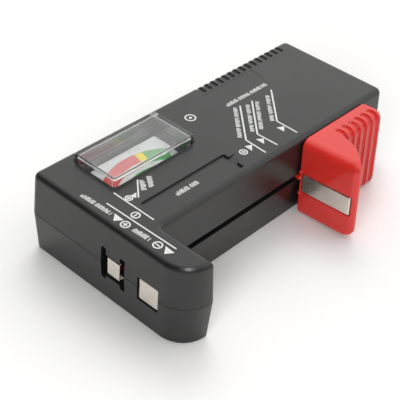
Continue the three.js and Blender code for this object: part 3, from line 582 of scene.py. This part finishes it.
HOUSING_PLAN = [
    (-HALF_WIDTH, -HALF_LENGTH, BODY_CORNER, 1),
    (JAW_RIGHT, -HALF_LENGTH, JAW_CORNER, 1),
    (JAW_RIGHT, JAW_FACE, JAW_LIP, 1),
    (HALF_WIDTH, JAW_FACE, 0.4, 1),
    (HALF_WIDTH, HALF_LENGTH, BODY_CORNER, 1),
    (-HALF_WIDTH, HALF_LENGTH, BODY_CORNER, 1),
]


def side_inset(z):
    """How far both shells' drafted sides stand in from the parting line's outline at a height."""
    if z < PARTING:
        return BACK_DRAFT_INSET * (PARTING - z) / PARTING
    return (z - PARTING) * tan(DRAFT)


def housing_layer(z, extra=0.0):
    """The housing's (outline, z) at a height, moved in by an extra inset."""
    return plan_outline(HOUSING_PLAN, side_inset(z) + extra), z


def fillet_layers(radius, foot, outline):
    """Layers of a quarter-round from foot up: outline gives the outline for an inset."""
    return [(outline(radius * (1 - cos(a))), foot + radius * sin(a)) for a in FILLET_ANGLES]


def back_fillet_layers(radius, outline):
    """Layers of a quarter-round from height 0 up: outline gives the outline for an inset."""
    return [(outline(radius * (1 - sin(a))), radius * (1 - cos(a))) for a in FILLET_ANGLES]


def openings():
    """Cutters that both shells share: the 9 V openings, the side slot and the jaw contact's pocket."""
    tools = []
    lip = 0.12
    near_inside = HALF_LENGTH - WALL - OVERCUT
    near_surface = HALF_LENGTH - 0.05
    for hole in (PLUS_HOLE, *PLUS_SLOTS, MINUS_HOLE):
        tools.append(moved(pocket(hole, HOLE_RADIUS, near_inside, near_surface, lip, 0), FACING_NEAR))
    inside = HALF_WIDTH - SLOT_DEPTH
    slot = (JAW_FACE, SLOT_FAR, SLOT_LOW, SLOT_HIGH)
    tools.append(moved(plate(slot, 0.25, inside, HALF_WIDTH + 2 * OVERCUT, HAIR), FACING_RIGHT))
    face = grown(mirrored(JAW_PLATE), POCKET_GAP)
    tools.append(moved(pocket(face, 0.3, JAW_FACE - JAW_POCKET_DEPTH, JAW_FACE, lip, 0), FACING_FAR))
    tail = grown(mirrored(JAW_TAIL), POCKET_GAP)
    tools.append(moved(plate(tail, 0.2, JAW_FACE - WALL - OVERCUT, JAW_FACE, HAIR), FACING_FAR))
    return tools


def over_edge(y, across, radius, depth, reach, edge_x, top, fillet, lean, foot):
    """Path of a groove at y that runs along the top, round the top edge's fillet and down the side.

    across is +1 where the side faces +X and -1 where it faces -X.
    """
    out = radius - depth
    centre = Vector((edge_x - across * fillet, y, top - fillet))
    swing = fillet + out
    path = [Vector((edge_x - across * (reach - radius), y, top + out))]
    steps = 8
    for k in range(steps + 1):
        angle = (pi / 2 - lean) * k / steps
        path.append(centre + Vector((across * sin(angle), 0, cos(angle))) * swing)
    last = path[-1]
    drop = last.z - foot
    path.append(last + Vector((across * drop * tan(lean), 0, -drop)))
    return path


def panel_ramp():
    """Cutter for the thumb ramp that rises from the label panel's far edge to the top."""
    low, high = PANEL_RAMP
    far = PANEL[3]
    foot = TOP - PANEL_DEPTH - 0.001
    head = TOP + PANEL_DEPTH / PANEL_RAMP_REACH * OVERCUT
    start, stop = far - OVERCUT, far + PANEL_RAMP_REACH + OVERCUT
    profile = [Vector(corner) for corner in ((start, foot), (far, foot), (stop, head), (start, head))]
    return moved(loft([(profile, low), (profile, high)]), FACING_RIGHT)


def top_shell():
    """Upper half of the housing, with the meter's opening, the label panel and the grip grooves."""
    foot = PARTING + PARTING_GAP / 2
    fillet_foot = TOP - TOP_FILLET
    fillet = fillet_layers(TOP_FILLET, fillet_foot, lambda inset: housing_layer(fillet_foot, inset)[0])
    ceiling = TOP - WALL
    shell = loft([housing_layer(foot, PARTING_EDGE), housing_layer(foot + PARTING_EDGE), *fillet])
    cavity = loft([housing_layer(PARTING - OVERCUT, WALL), housing_layer(ceiling, WALL)])
    boss = [(TOP_BOSS_RADIUS, BOSS_JOIN + BOSS_GAP), (TOP_BOSS_RADIUS, ceiling + BOSS_SINK)]
    bore = [(SHANK_HOLE, BOSS_JOIN - OVERCUT), (SHANK_HOLE, PARTING + BORE_REACH)]
    shell = add(cut(shell, [cavity]), [drum(x, y, boss) for x, y in SCREWS])
    shell = cut(shell, [drum(x, y, bore) for x, y in SCREWS])
    opening = grown(WINDOW, WINDOW_CLEARANCE)
    tools = [
        pocket(opening, WINDOW_RADIUS + WINDOW_CLEARANCE, ceiling - OVERCUT, TOP, lip=0.2, draft=0),
        pocket(PANEL, PANEL_RADIUS, TOP - PANEL_DEPTH, TOP, lip=0.12),
        panel_ramp(),
    ]
    shell = cut(shell, tools + openings())
    edge = -HALF_WIDTH + side_inset(TOP)
    grooves = []
    for index in range(GRIP_COUNT):
        path = over_edge(GRIP_START + index * GRIP_PITCH, -1, GRIP_RADIUS, GRIP_DEPTH, GRIP_REACH,
                         edge, TOP, TOP_FILLET, DRAFT, GRIP_FOOT)
        grooves.append(tube(path, GRIP_RADIUS))
    scribed = [(x, y, TOP + SCRIBED_RADIUS - SCRIBED_DEPTH) for x, y in SCRIBED_LINE]
    grooves.append(tube(eased(scribed, SCRIBED_BEND), SCRIBED_RADIUS, sides=16))
    shell = cut(shell, grooves)
    return finished(shell, "housing_top", "shell", ["top_shell"], 30)


def bottom_shell():
    """Lower half of the housing, with four screw wells in its back."""
    rim = BACK_SHELL_RIM
    fillet = back_fillet_layers(BACK_FILLET, lambda inset: housing_layer(0, inset)[0])
    shell = loft([*fillet[::2], housing_layer(rim - PARTING_EDGE), housing_layer(rim, PARTING_EDGE)])
    cavity = loft([housing_layer(WALL, WALL), housing_layer(PARTING + OVERCUT, WALL)])
    boss = [(BACK_BOSS_RADIUS, WALL - BOSS_SINK), (BACK_BOSS_RADIUS, BOSS_JOIN - BOSS_GAP)]
    mouth = SCREW_HOLE + SCREW_HOLE_EDGE
    well = [(mouth, -OVERCUT), (mouth, 0), (SCREW_HOLE, SCREW_HOLE_EDGE), (SCREW_HOLE, HEAD_SEAT)]
    bore = [(SHANK_HOLE, HEAD_SEAT - OVERCUT), (SHANK_HOLE, BOSS_JOIN + OVERCUT)]
    shell = add(cut(shell, [cavity]), [drum(x, y, boss) for x, y in SCREWS])
    holes = [drum(x, y, profile) for x, y in SCREWS for profile in (well, bore)]
    shell = cut(shell, holes + openings())
    return finished(shell, "housing_back", "shell", ["bottom_shell"], 30)


# ---- Meter ----

def meter_window():
    """Clear deep cover: a raised box with rounded edges on the skirt that closes the movement in."""
    low, high = box_mm("meter_window")
    plan = rectangle(*WINDOW, WINDOW_RADIUS)
    overlap = 0.5
    rise = fillet_layers(WINDOW_EDGE, WINDOW_TOP - WINDOW_EDGE, lambda inset: plan_outline(plan, inset, 6))
    raised = loft([(plan_outline(plan, 0, 6), SKIRT_TOP - overlap), *rise[::2]])
    skirt_rect = (low.x, high.x, low.y, high.y)
    skirt = plate(skirt_rect, 0.6, low.z, SKIRT_TOP, 0.1)
    ceiling = SKIRT_TOP - SKIRT_WALL
    hollow = plate(grown(skirt_rect, -SKIRT_WALL), 0.4, low.z - OVERCUT, ceiling, 0.05)
    well_plan = rectangle(*grown(WINDOW, -WINDOW_WALL), 0.5)
    well_top = WINDOW_TOP - WINDOW_WALL
    well_edge = ((0, 0.3), (0.1, 0.1), (0.3, 0))
    well_layers = [(0, ceiling - overlap), *((inset, well_top - drop) for inset, drop in well_edge)]
    well = loft([(plan_outline(well_plan, inset, 6), z) for inset, z in well_layers])
    cover = cut(add(skirt, [raised]), [hollow, well])
    return finished(cover, "window_cover", "clear_plastic", ["meter_window"], 40)


def card():
    """Printed card under the needle."""
    body = plate((CARD_LOW.x, CARD_HIGH.x, CARD_LOW.y, CARD_HIGH.y), 0.5, CARD_LOW.z, CARD_HIGH.z, 0.05)
    return finished(body, "dial_card", "card", ["scale_card"])


def dial_point(radius, degrees):
    """A point on the dial: the angle is from -X towards +Y about the pivot."""
    angle = radians(degrees)
    return Vector((PIVOT[0] - radius * cos(angle), PIVOT[1] + radius * sin(angle)))


def sector(inner, outer, start, stop, low, high, steps=40):
    """Part of a ring about the pivot, between two radii and two angles in degrees."""
    angles = [start + (stop - start) * k / steps for k in range(steps + 1)]
    points = [dial_point(outer, a) for a in angles] + [dial_point(inner, a) for a in reversed(angles)]
    if start < stop:
        points.reverse()
    return loft([(points, low), (points, high)])


def merge(pieces, name):
    """Several separate closed pieces as one object."""
    points, faces = [], []
    for piece in pieces:
        base = len(points)
        points += [v.co.copy() for v in piece.data.vertices]
        faces += [tuple(base + i for i in face.vertices) for face in piece.data.polygons]
        bpy.data.objects.remove(piece)
    return mesh_object(name, points, faces)


BAND = (17.0, 20.8)
BAND_INKS = {"red": (0.45, 0.07, 0.07), "yellow": (0.56, 0.46, 0.006), "green": (0.09, 0.29, 0.10)}
BAND_STOPS = (-37.0, 9.0, 16.5, 38.5)
INNER_BAND = (13.1, 14.8)
INNER_SPAN = (-24, 34)
DIAL_LINE = 0.2


def dial_print():
    """Coloured bands, their outlines, and rows of spots where the dial's lettering was."""
    low, high = CARD_HIGH.z - INK_SINK, CARD_HIGH.z + INK_RISE
    for (colour, ink), start, stop in zip(BAND_INKS.items(), BAND_STOPS, BAND_STOPS[1:]):
        band = sector(*BAND, start, stop, low, high)
        finished(band, "dial_" + colour, "card", material=printed("ink_" + colour, ink, 0.5, 0.08))
    deep_green = printed("ink_deep_green", (0.02, 0.22, 0.04), 0.5, 0.08)
    inner = sector(*INNER_BAND, *INNER_SPAN, low, high)
    finished(inner, "dial_green_inner", "card", material=deep_green)
    near, far = BAND
    line_top = high + 0.012
    lines = [sector(far, far + DIAL_LINE, BAND_STOPS[0], BAND_STOPS[-1], low, high)]
    for angle in BAND_STOPS[1:-1]:
        lines.append(sector(near + DIAL_LINE, far - DIAL_LINE, angle, angle + 0.35, low, line_top, 2))
    spots = [(22.0 + 0.9 * (k % 2), 7.5 + 1.25 * k, 0.8) for k in range(9)]
    spots += [(18.4, -33 + 3.4 * k, 1.0) for k in range(12)]
    spots += [(18.4, 21 + 3.0 * k, 0.9) for k in range(5)]
    for radius, angle, length in spots:
        lines.append(sector(radius, radius + length, angle, angle + 0.5, low, line_top, 2))
    grey = printed("ink_grey", (0.22, 0.24, 0.22), 0.5, 0.1)
    finished(merge(lines, "lines"), "dial_lines", "card", material=grey)


def needle():
    """Pointer with a raised spine, a domed hub and a counterweight, at the CAD needle's rest angle."""
    floor = box_mm("needle")[0].z
    length, tail = 19.2, 3.4
    tip, root, ridge = 0.12, 0.36, 0.4
    outline = [(-length, -tip), (-length, tip), (0, root), (tail, root), (tail, -root), (0, -root)]
    flat = [Vector(p) for p in reversed(outline)]
    spine = [Vector((p.x, p.y * 0.35)) for p in flat]
    pointer = loft([(flat, floor), (flat, floor + ridge * 0.6), (spine, floor + ridge)])
    hub_profile = ((1.4, 0), (1.4, 0.45), (1.15, 0.65), (0.8, 0.7))
    weight_profile = ((1.0, 0), (1.1, 0.1), (1.1, 0.65), (0.95, 0.8))
    hub = drum(0, 0, [(radius, floor + rise) for radius, rise in hub_profile])
    weight = drum(3.6, 0, [(radius, floor + rise) for radius, rise in weight_profile])
    pivot_hole = 0.72
    bore = drum(0, 0, [(pivot_hole, floor - OVERCUT), (pivot_hole, floor + 2 * OVERCUT)])
    body = cut(add(pointer, [hub, weight]), [bore])
    turn = Matrix.Translation((*PIVOT, 0)) @ Matrix.Rotation(radians(NEEDLE_REST), 4, "Z")
    return finished(moved(body, turn), "pointer", "needle", ["needle"], body="movement")


# ---- Contacts ----

def plus_contact():
    """Tongue that bows out of its opening and is held behind the wall at both ends."""
    near, far = PLUS_TONGUE
    gap, thickness, slope = 0.35, 0.5, 0.5
    low, high = PLUS_HOLE[2] + gap, PLUS_HOLE[3] - gap
    behind, front = far.y - thickness, near.y
    path = [(behind, near.z), (behind, low), (front, low + slope),
            (front, high - slope), (behind, high), (behind, far.z)]
    body = rounded(strip(eased(path, 0.6), thickness, near.x, far.x, "tongue"), 0.1)
    return finished(body, "tongue_9v_plus", "nickel", ["contact_9v_plus"], 50)


def minus_contact():
    """Flat plate in its opening, with a foot that turns back into the housing."""
    thickness, foot_thickness = 0.5, 0.4
    surface = HALF_LENGTH - MINUS_SINK
    face = moved(plate(MINUS_PLATE, 0.35, surface - thickness, surface, 0.1), FACING_NEAR)
    low = MINUS_PLATE[2]
    back = -HALF_LENGTH + WALL + 1
    path = eased([(-surface, low + 2), (-surface, low), (back, low), (back, low - 3)], 0.5)
    foot = strip(path[::-1], foot_thickness, 23.45, 26.75, "foot")
    body = add(face, [foot])
    return finished(body, "plate_9v_minus", "nickel", ["contact_9v_minus"], 50)


def jaw_contact():
    """Flat plate on the fixed jaw's inner face, with a tail through the wall."""
    face = plate(mirrored(JAW_PLATE), 0.5, JAW_FACE - 0.5, JAW_FACE - 0.02, 0.12)
    tail = plate(mirrored(JAW_TAIL), 0.12, JAW_FACE - 3.2, JAW_FACE - 0.2, 0.02)
    body = moved(add(face, [tail]), FACING_FAR)
    return finished(body, "plate_jaw", "nickel", ["jaw_contact"], 50)


def screw(index, x, y):
    """Pan-head screw with a domed head and a cross recess, seen from the back."""
    head_radius, head_top = 2.4, 2.5
    crown = [(1.2, 0.7), (1.75, 0.78), (2.1, 0.98), (2.3, 1.25), (head_radius, 1.6), (head_radius, head_top)]
    core, crest, pitch, turns = 0.95, 1.15, 0.7, 15
    thread = []
    for turn in range(turns):
        start = 2.9 + turn * pitch
        thread += [(core, start), (crest, start + pitch / 2)]
    body = drum(x, y, [*crown, (1.1, head_top), *thread, (0.9, 13.6), (0.25, 14.3)])
    reach, half, taper = 1.25, 0.26, 0.6
    arms = []
    for across, along in ((reach, half), (half, reach)):
        layers = []
        for share, z in ((1, 0.5), (taper, 1.9)):
            dx, dy = across * share, along * share
            corners = rectangle(x - dx, x + dx, y - dy, y + dy, 0.2)
            layers.append((plan_outline(corners, 0, 3), z))
        arms.append(loft(layers))
    body = cut(body, arms)
    return finished(body, f"screw_{index}", "screw_steel", [f"case_screw_{index}"])


# ---- Slider ----

SLIDER_PLAN = [
    (0, 0, 0.8, 1),
    (SLIDER_DEPTH, 0, 1.6, 1),
    (SLIDER_DEPTH, SLIDER_TIP, 0.5, WING_SHARE),
    (*SLIDER_BULGE, 9.0, WING_SHARE),
    (SLIDER_BLOCK, SLIDER_ROOT, 1.5, 1),
    (SLIDER_BLOCK, SLIDER_LENGTH, 2.0, 0.4),
    (0, SLIDER_LENGTH, 0.8, 0),
]
TIP_EDGE = 1  # the edge of the plan that is the jaw wall's outer end
SLIDER_BACK_PLAN = [(x, y, radius, 1 if edge == TIP_EDGE else follow * SLIDER_BACK_SHARE)
                    for edge, (x, y, radius, follow) in enumerate(SLIDER_PLAN)]
SLIDER_HOLLOW_PLAN = [
    (SLIDER_WALL, SLIDER_WALL, 0.5, 1),
    (16.2, SLIDER_WALL, 0.3, 1),
    (11.4, 7.0, 0.5, 1),
    (SLIDER_BLOCK - SLIDER_WALL, 9.6, 0.5, 1),
    (SLIDER_BLOCK - SLIDER_WALL, SLIDER_LENGTH - SLIDER_WALL, 0.5, 1),
    (SLIDER_WALL, SLIDER_LENGTH - SLIDER_WALL, 0.5, 1),
]


def slider():
    """Jaw wall and ribbed finger block, hollow from below, with a tongue that runs in the side slot."""
    foot = SLIDER_HEIGHT - SLIDER_FILLET
    layers = back_fillet_layers(SLIDER_FILLET, lambda inset: plan_outline(SLIDER_BACK_PLAN, inset))
    layers += fillet_layers(SLIDER_FILLET, foot, lambda inset: plan_outline(SLIDER_PLAN, inset))
    jaw = loft(layers)
    hollow = plan_outline(SLIDER_HOLLOW_PLAN)
    tools = [loft([(hollow, -OVERCUT), (hollow, SLIDER_HEIGHT - SLIDER_CEILING)])]
    left, right, low, high = STRIP
    gap = POCKET_GAP
    for start, depth in ((left - gap, STRIP_POCKET), (right - STRIP_CURL, STRIP_CURL_POCKET)):
        rect = (start, right + gap, low - gap, high + gap)
        tools.append(moved(pocket(rect, 0.3, -depth, 0, lip=0.1, draft=0), FACING_NEAR))
    for index in range(RIB_COUNT):
        path = over_edge(RIB_START + index * RIB_PITCH, 1, RIB_RADIUS, RIB_DEPTH, RIB_TOP_REACH,
                         SLIDER_BLOCK, SLIDER_HEIGHT, SLIDER_FILLET, 0, -2)
        tools.append(tube(path, RIB_RADIUS))
    jaw = cut(jaw, tools)
    nibs = []
    for height in NIB_HEIGHTS:
        nib = plate((*NIB_SPAN, height, height + NIB_SIZE), 0.3, -NIB_SINK, NIB_STAND, 0.2)
        nibs.append(moved(nib, FACING_NEAR))
    jaw = moved(add(jaw, nibs), LEAN)
    tongue_near = SLIDER_NEAR - 0.6
    rect = (TONGUE_LEFT, SLIDER_X + 0.1, tongue_near, SLIDER_NEAR + TONGUE_LENGTH)
    tongue = plate(rect, 0.5, *TONGUE_HEIGHTS, 0.1)
    low, high = TONGUE_HEIGHTS
    inset = 0.3
    end = (TONGUE_LEFT + 3 * inset, SLIDER_X - 0.8, low + inset, high - inset)
    dimple = pocket(end, 0.2, -tongue_near - 0.5, -tongue_near, lip=0.05, draft=0)
    tongue = cut(tongue, [moved(dimple, FACING_NEAR)])
    jaw = add(jaw, [tongue])
    rect = (SLIDER_X - 3, SLIDER_X + 3, SLIDER_NEAR - 0.2, SLIDER_NEAR + 3.5)
    jaw = cut(jaw, [plate(rect, 0.1, *TAIL_CHANNEL, HAIR)])
    return finished(jaw, "jaw_slider", "red_plastic", ["slider"], 28, body="sliding_jaw")


def slider_strip():
    """Bright strip in the slider's front, with its outer end curled back into a slot, and its tail."""
    left, right, low, high = STRIP
    near = STRIP_STAND
    bend = 0.75
    curl = [(right - bend + bend * sin(a), near + bend - bend * cos(a)) for a in FILLET_ANGLES]
    path = [Vector(p) for p in ((left, near), *curl, (right, near + 1.4))]
    steps = [b - a for a, b in zip(path, path[1:])]
    tangents = [steps[0], *(a + b for a, b in zip(steps, steps[1:])), steps[-1]]
    inner = [p + Vector((-d.y, d.x)).normalized() * STRIP_THICKNESS for p, d in zip(path, tangents)]
    outline = path + inner[::-1]
    body = moved(rounded(loft([(outline, low), (outline, high)]), 0.1), LEAN)
    tail_left = box_mm("slider_contact")[0].x
    tail = (tail_left, SLIDER_X + 1.9, SLIDER_NEAR + 0.15, SLIDER_NEAR + 3.2)
    body = add(body, [plate(tail, 0.3, *TAIL_HEIGHTS, 0.04)])
    return finished(body, "strip_slider", "nickel", ["slider_contact"], 50, body="sliding_jaw")


# ---- Printed marks ----

FINE_LINE = 0.42
BOLD_LINE = 0.5
LETTERS_PER_WORD = 12


class Marks:
    """White marks printed on a flat face at a height, gathered into one piece.

    Places on the face are measured from the near left corner of the body.
    """

    def __init__(self, height):
        self.low = height - INK_SINK
        self.high = height + INK_RISE
        self.pieces = []
        self.random = random.Random(SEED)

    def shape(self, outline):
        """Filled shape, whichever way round its outline runs."""
        outline = [Vector(p) for p in outline]
        area = sum(cross2(a, b) for a, b in zip(outline, outline[1:] + outline[:1]))
        ordered = outline if area > 0 else outline[::-1]
        self.pieces.append(loft([(ordered, self.low), (ordered, self.high)]))

    def line(self, points, width):
        """Polyline with round ends and mitred corners."""
        points = [Vector(p) for p in points]
        half = width / 2
        steps = [(b - a).normalized() for a, b in zip(points, points[1:])]
        sides = [[], []]
        for i, point in enumerate(points):
            before = steps[max(i - 1, 0)]
            after = steps[min(i, len(steps) - 1)]
            bisector = (before + after).normalized()
            reach = half / max(bisector.dot(after), 0.3)
            normal = Vector((-bisector.y, bisector.x))
            sides[0].append(point - normal * reach)
            sides[1].append(point + normal * reach)
        start_angle = atan2(steps[0].y, steps[0].x)
        stop_angle = atan2(steps[-1].y, steps[-1].x)
        arc = [pi * k / 6 for k in range(1, 6)]
        stop_cap = [points[-1] + turned2(Vector((half, 0)), stop_angle - pi / 2 + a) for a in arc]
        start_cap = [points[0] + turned2(Vector((half, 0)), start_angle + pi / 2 + a) for a in arc]
        self.shape(sides[0] + stop_cap + sides[1][::-1] + start_cap)

    def ring(self, x, y, radius, width=FINE_LINE, sides=28):
        outer, inner = ring_points(x, y, radius, sides), ring_points(x, y, radius - width, sides)
        layers = ((outer, self.low), (outer, self.high), (inner, self.high), (inner, self.low))
        points, faces = skin([[(p.x, p.y, z) for p in loop] for loop, z in layers], False)
        for i in range(sides):
            j = (i + 1) % sides
            faces.append((3 * sides + i, 3 * sides + j, j, i))
        self.pieces.append(mesh_object("ring", points, faces))

    def sign(self, x, y, radius, plus, angle=0.0):
        """A plus or minus in a circle."""
        self.ring(x, y, radius)
        reach = radius * 0.48
        bar = turned2(Vector((reach, 0)), angle)
        centre = Vector((x, y))
        half = 0.2
        if not plus:
            self.line([centre - bar, centre + bar], 2 * half)
            return
        arm = [Vector(corner) for corner in ((reach, half), (half, half), (half, reach))]
        turns = [angle + quarter * pi / 2 for quarter in range(4)]
        self.shape([centre + turned2(corner, turn) for turn in turns for corner in arm])

    def rows(self, start, stop, height, tick=0.25, pitch=0.44, broken=0.45):
        """Greeked lettering: upright bars of uneven length, some with a short bar across."""
        start, stop = Vector(start), Vector(stop)
        along = (stop - start).normalized()
        up = Vector((-along.y, along.x))
        count = int((stop - start).length / pitch)
        for k in range(count):
            here = start + along * (k + 0.5) * pitch
            if (k + 1) % LETTERS_PER_WORD == 0:
                continue
            share = self.random.choice((1.0, 1.0, 0.85, 0.7))
            base = here - up * height / 2
            top = base + up * height * share
            half = along * tick / 2
            self.shape([base - half, base + half, top + half, top - half])
            if self.random.random() < broken:
                level = base + up * height * self.random.choice((0.15, 0.5, 0.8))
                far = level + along * pitch
                rise = up * tick / 2
                self.shape([level + half - rise, far - half - rise, far - half + rise, level + half + rise])

    def done(self, name):
        piece = moved(merge(self.pieces, name), Matrix.Translation((-HALF_WIDTH, -HALF_LENGTH, 0)))
        return finished(piece, name, "shell", material=INK)


def marks_near_end():
    marks = Marks(TOP)
    marks.line([(22.0, 10.6), (36.6, 10.5)], FINE_LINE)
    marks.line([(23.9, 6.3), (48.3, 6.6)], FINE_LINE)
    marks.sign(32.3, 8.4, 1.35, False, radians(90))
    marks.sign(33.2, 3.9, 1.4, True)
    marks.sign(44.3, 4.3, 1.4, False)
    marks.shape([(28.2, 5.0), (30.1, 2.7), (31.7, 4.8)])
    marks.shape([(45.9, 5.5), (47.7, 3.1), (49.2, 5.2)])
    marks.rows((16.8, 3.9), (27.8, 4.3), 1.5)
    marks.rows((35.9, 4.1), (42.0, 4.4), 1.6)
    return marks.done("marks_near_end")


def marks_meter():
    marks = Marks(TOP)
    marks.sign(26.1, 12.0, 1.15, True)
    marks.shape([(25.7, 12.9), (25.7, 15.1), (27.4, 13.4)])
    marks.line([(22.1, 19.0), (27.5, 14.1)], FINE_LINE)
    marks.rows((22.9, 19.9), (26.7, 17.0), 1.5)
    marks.rows((22.9, 22.5), (27.4, 19.2), 1.5)
    return marks.done("marks_meter")


def marks_recess():
    marks = Marks(TOP - PANEL_DEPTH)
    marks.rows((32.9, 22.6), (32.9, 31.1), 1.6)
    return marks.done("marks_recess")


def marks_far_end():
    """Three rules, each with a triangle at its end and greeked rows beside it, and two round marks."""
    marks = Marks(TOP)
    marks.rows((14.0, 63.6), (14.0, 81.7), 1.5)
    rules = (
        ((16.8, 66.5), (29.5, 54.6), (36.9, 54.2)),
        ((17.4, 71.2), (29.7, 59.3), (36.8, 59.5)),
        ((17.3, 80.3), (29.3, 68.6), (36.7, 68.5)),
    )
    rows = (
        ((16.4, 64.8), (28.2, 53.6)),
        ((17.8, 68.8), (28.3, 58.9)),
        ((18.6, 72.2), (29.0, 61.9)),
        ((18.5, 77.1), (28.6, 67.4)),
    )
    triangles = (
        ((31.2, 52.0), (32.1, 54.2), (34.1, 51.9)),
        ((31.1, 57.0), (32.4, 59.0), (34.2, 57.0)),
        ((31.3, 65.9), (32.4, 68.2), (34.1, 66.1)),
    )
    for path in rules:
        marks.line(path, BOLD_LINE)
    for start, stop in rows:
        marks.rows(start, stop, 1.3)
    for corners in triangles:
        marks.shape(corners)
    marks.sign(32.8, 49.7, 1.3, True)
    round_mark = (11.2, 51.0)
    marks.ring(*round_mark, 1.75, 0.45)
    marks.shape(ring_points(*round_mark, 0.5, 16))
    return marks.done("marks_far_end")


# ---- Build ----

top_shell()
bottom_shell()
meter_window()
card()
dial_print()
needle()
plus_contact()
minus_contact()
jaw_contact()
slider()
slider_strip()
for number, (screw_x, screw_y) in enumerate(SCREWS, 1):
    screw(number, screw_x, screw_y)
marks_near_end()
marks_meter()
marks_recess()
marks_far_end()

KEPT_NODES = {
    "meter_base": ("meter_case", "movement_frame"),
    "iron": ("magnet_core", "yoke_ring"),
    "brass": ("core_bar", "lower_bridge", "upper_bridge", "lower_jewel", "upper_jewel", "hairspring",
              "spring_arm", "meter_terminal_plus", "meter_terminal_minus", "contact_rail", "slider_wiper"),
    "copper": ("moving_coil",),
    "screw_steel": ("upper_pivot", "lower_pivot"),
    "board": ("circuit_board",),
    "resistor": ("load_resistor_1", "load_resistor_2", "load_resistor_3"),
    "wire_red": ("wire_9v_plus", "wire_meter_plus", "wire_rail"),
    "wire_black": ("wire_9v_minus", "wire_meter_minus", "wire_jaw"),
    "shell": ("slider_runner",),
}
for look, node_names in KEPT_NODES.items():
    for node_name in node_names:
        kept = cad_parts[node_name]
        kept.data.materials.clear()
        kept.data.materials.append(LOOKS[look])


# ---- Stage, light and camera ----

FLOOR_HALF = 3.0  # metres
FLOOR_DROP = 0.00002
STUDIO_DIRECTION = (-0.1, 0.79, 0.61)
STUDIO_DIM, STUDIO_BRIGHT = 0.08, 1.35
STUDIO_EDGE = 0.75  # cosine of the angle to the studio's direction where it is fully bright


def floor():
    """White paper that the tester lies on."""
    half = FLOOR_HALF
    corners = [(-half, -half, 0), (half, -half, 0), (half, half, 0), (-half, half, 0)]
    plane = mesh_object("floor", corners, [(0, 1, 2, 3)])
    plane.location.z = -FLOOR_DROP
    finish = Finish("white_paper").set(Specular_IOR_Level=0.2)
    cloud = finish.noise(0.15, 2)
    finish.drive("Base Color", finish.blend(cloud, (0.835, 0.832, 0.828), (0.85, 0.847, 0.843)))
    finish.drive("Roughness", finish.spread(finish.noise(0.05, 2), 0.6, 0.7))
    plane.data.materials.append(finish.material)


def world_light():
    """Bright studio from behind and above, and a dim room on the camera's side."""
    world = bpy.data.worlds.new("studio")
    bpy.context.scene.world = world
    world.use_nodes = True
    nodes, links = world.node_tree.nodes, world.node_tree.links
    place = nodes.new("ShaderNodeTexCoord")
    toward = nodes.new("ShaderNodeVectorMath")
    toward.operation = "DOT_PRODUCT"
    toward.inputs[1].default_value = STUDIO_DIRECTION
    links.new(place.outputs["Generated"], toward.inputs[0])
    reach = nodes.new("ShaderNodeMapRange")
    reach.interpolation_type = "SMOOTHSTEP"
    reach.inputs["From Min"].default_value = 0.0
    reach.inputs["From Max"].default_value = STUDIO_EDGE
    reach.inputs["To Min"].default_value = STUDIO_DIM
    reach.inputs["To Max"].default_value = STUDIO_BRIGHT
    links.new(toward.outputs["Value"], reach.inputs["Value"])
    links.new(reach.outputs["Result"], nodes["Background"].inputs["Strength"])
    nodes["Background"].inputs["Color"].default_value = (1.0, 0.995, 0.99, 1)


def lamp(name, direction, distance, size, power):
    """Disk lamp that faces the origin from a direction: distance and size in metres, power in watts."""
    light = bpy.data.lights.new(name, "AREA")
    light.shape = "DISK"
    light.size = size
    light.energy = power
    holder = bpy.data.objects.new(name, light)
    bpy.context.scene.collection.objects.link(holder)
    toward = Vector(direction).normalized()
    holder.location = toward * distance
    holder.rotation_euler = toward.to_track_quat("Z", "Y").to_euler()
    return holder


def camera():
    """The photograph's camera, fitted to the tester's edges."""
    azimuth, elevation, roll = radians(40.28), radians(37.65), radians(4.44)
    target, distance = Vector((3.70, -11.34, 12.0)) * MM, 298.73 * MM
    back = Vector((sin(azimuth) * cos(elevation), -cos(azimuth) * cos(elevation),
                   sin(elevation)))
    right = (-back).cross(Vector((0, 0, 1))).normalized()
    up = right.cross(-back)
    x_axis = right * cos(roll) + up * sin(roll)
    y_axis = up * cos(roll) - right * sin(roll)
    data = bpy.data.cameras.new("camera")
    data.lens = 93.84
    data.sensor_width = 36
    data.shift_y = -0.0325
    data.clip_start = 0.01
    holder = bpy.data.objects.new("camera", data)
    bpy.context.scene.collection.objects.link(holder)
    turn = Matrix((x_axis, y_axis, back)).transposed().to_4x4()
    holder.matrix_world = Matrix.Translation(target + back * distance) @ turn
    bpy.context.scene.camera = holder


floor()
world_light()
lamp("soft_key", (-0.35, 0.35, 0.85), 0.8, 0.4, 1.6).visible_glossy = False
lamp("fill", (0.35, -0.65, 0.45), 0.9, 0.5, 4.0).visible_glossy = False
lamp("spark_high", (0.47, -0.38, 0.76), 0.7, 0.06, 1.1).visible_diffuse = False
lamp("spark_low", (0.62, -0.52, 0.55), 0.7, 0.06, 1.1).visible_diffuse = False
camera()
bpy.context.scene.view_settings.view_transform = "Standard"
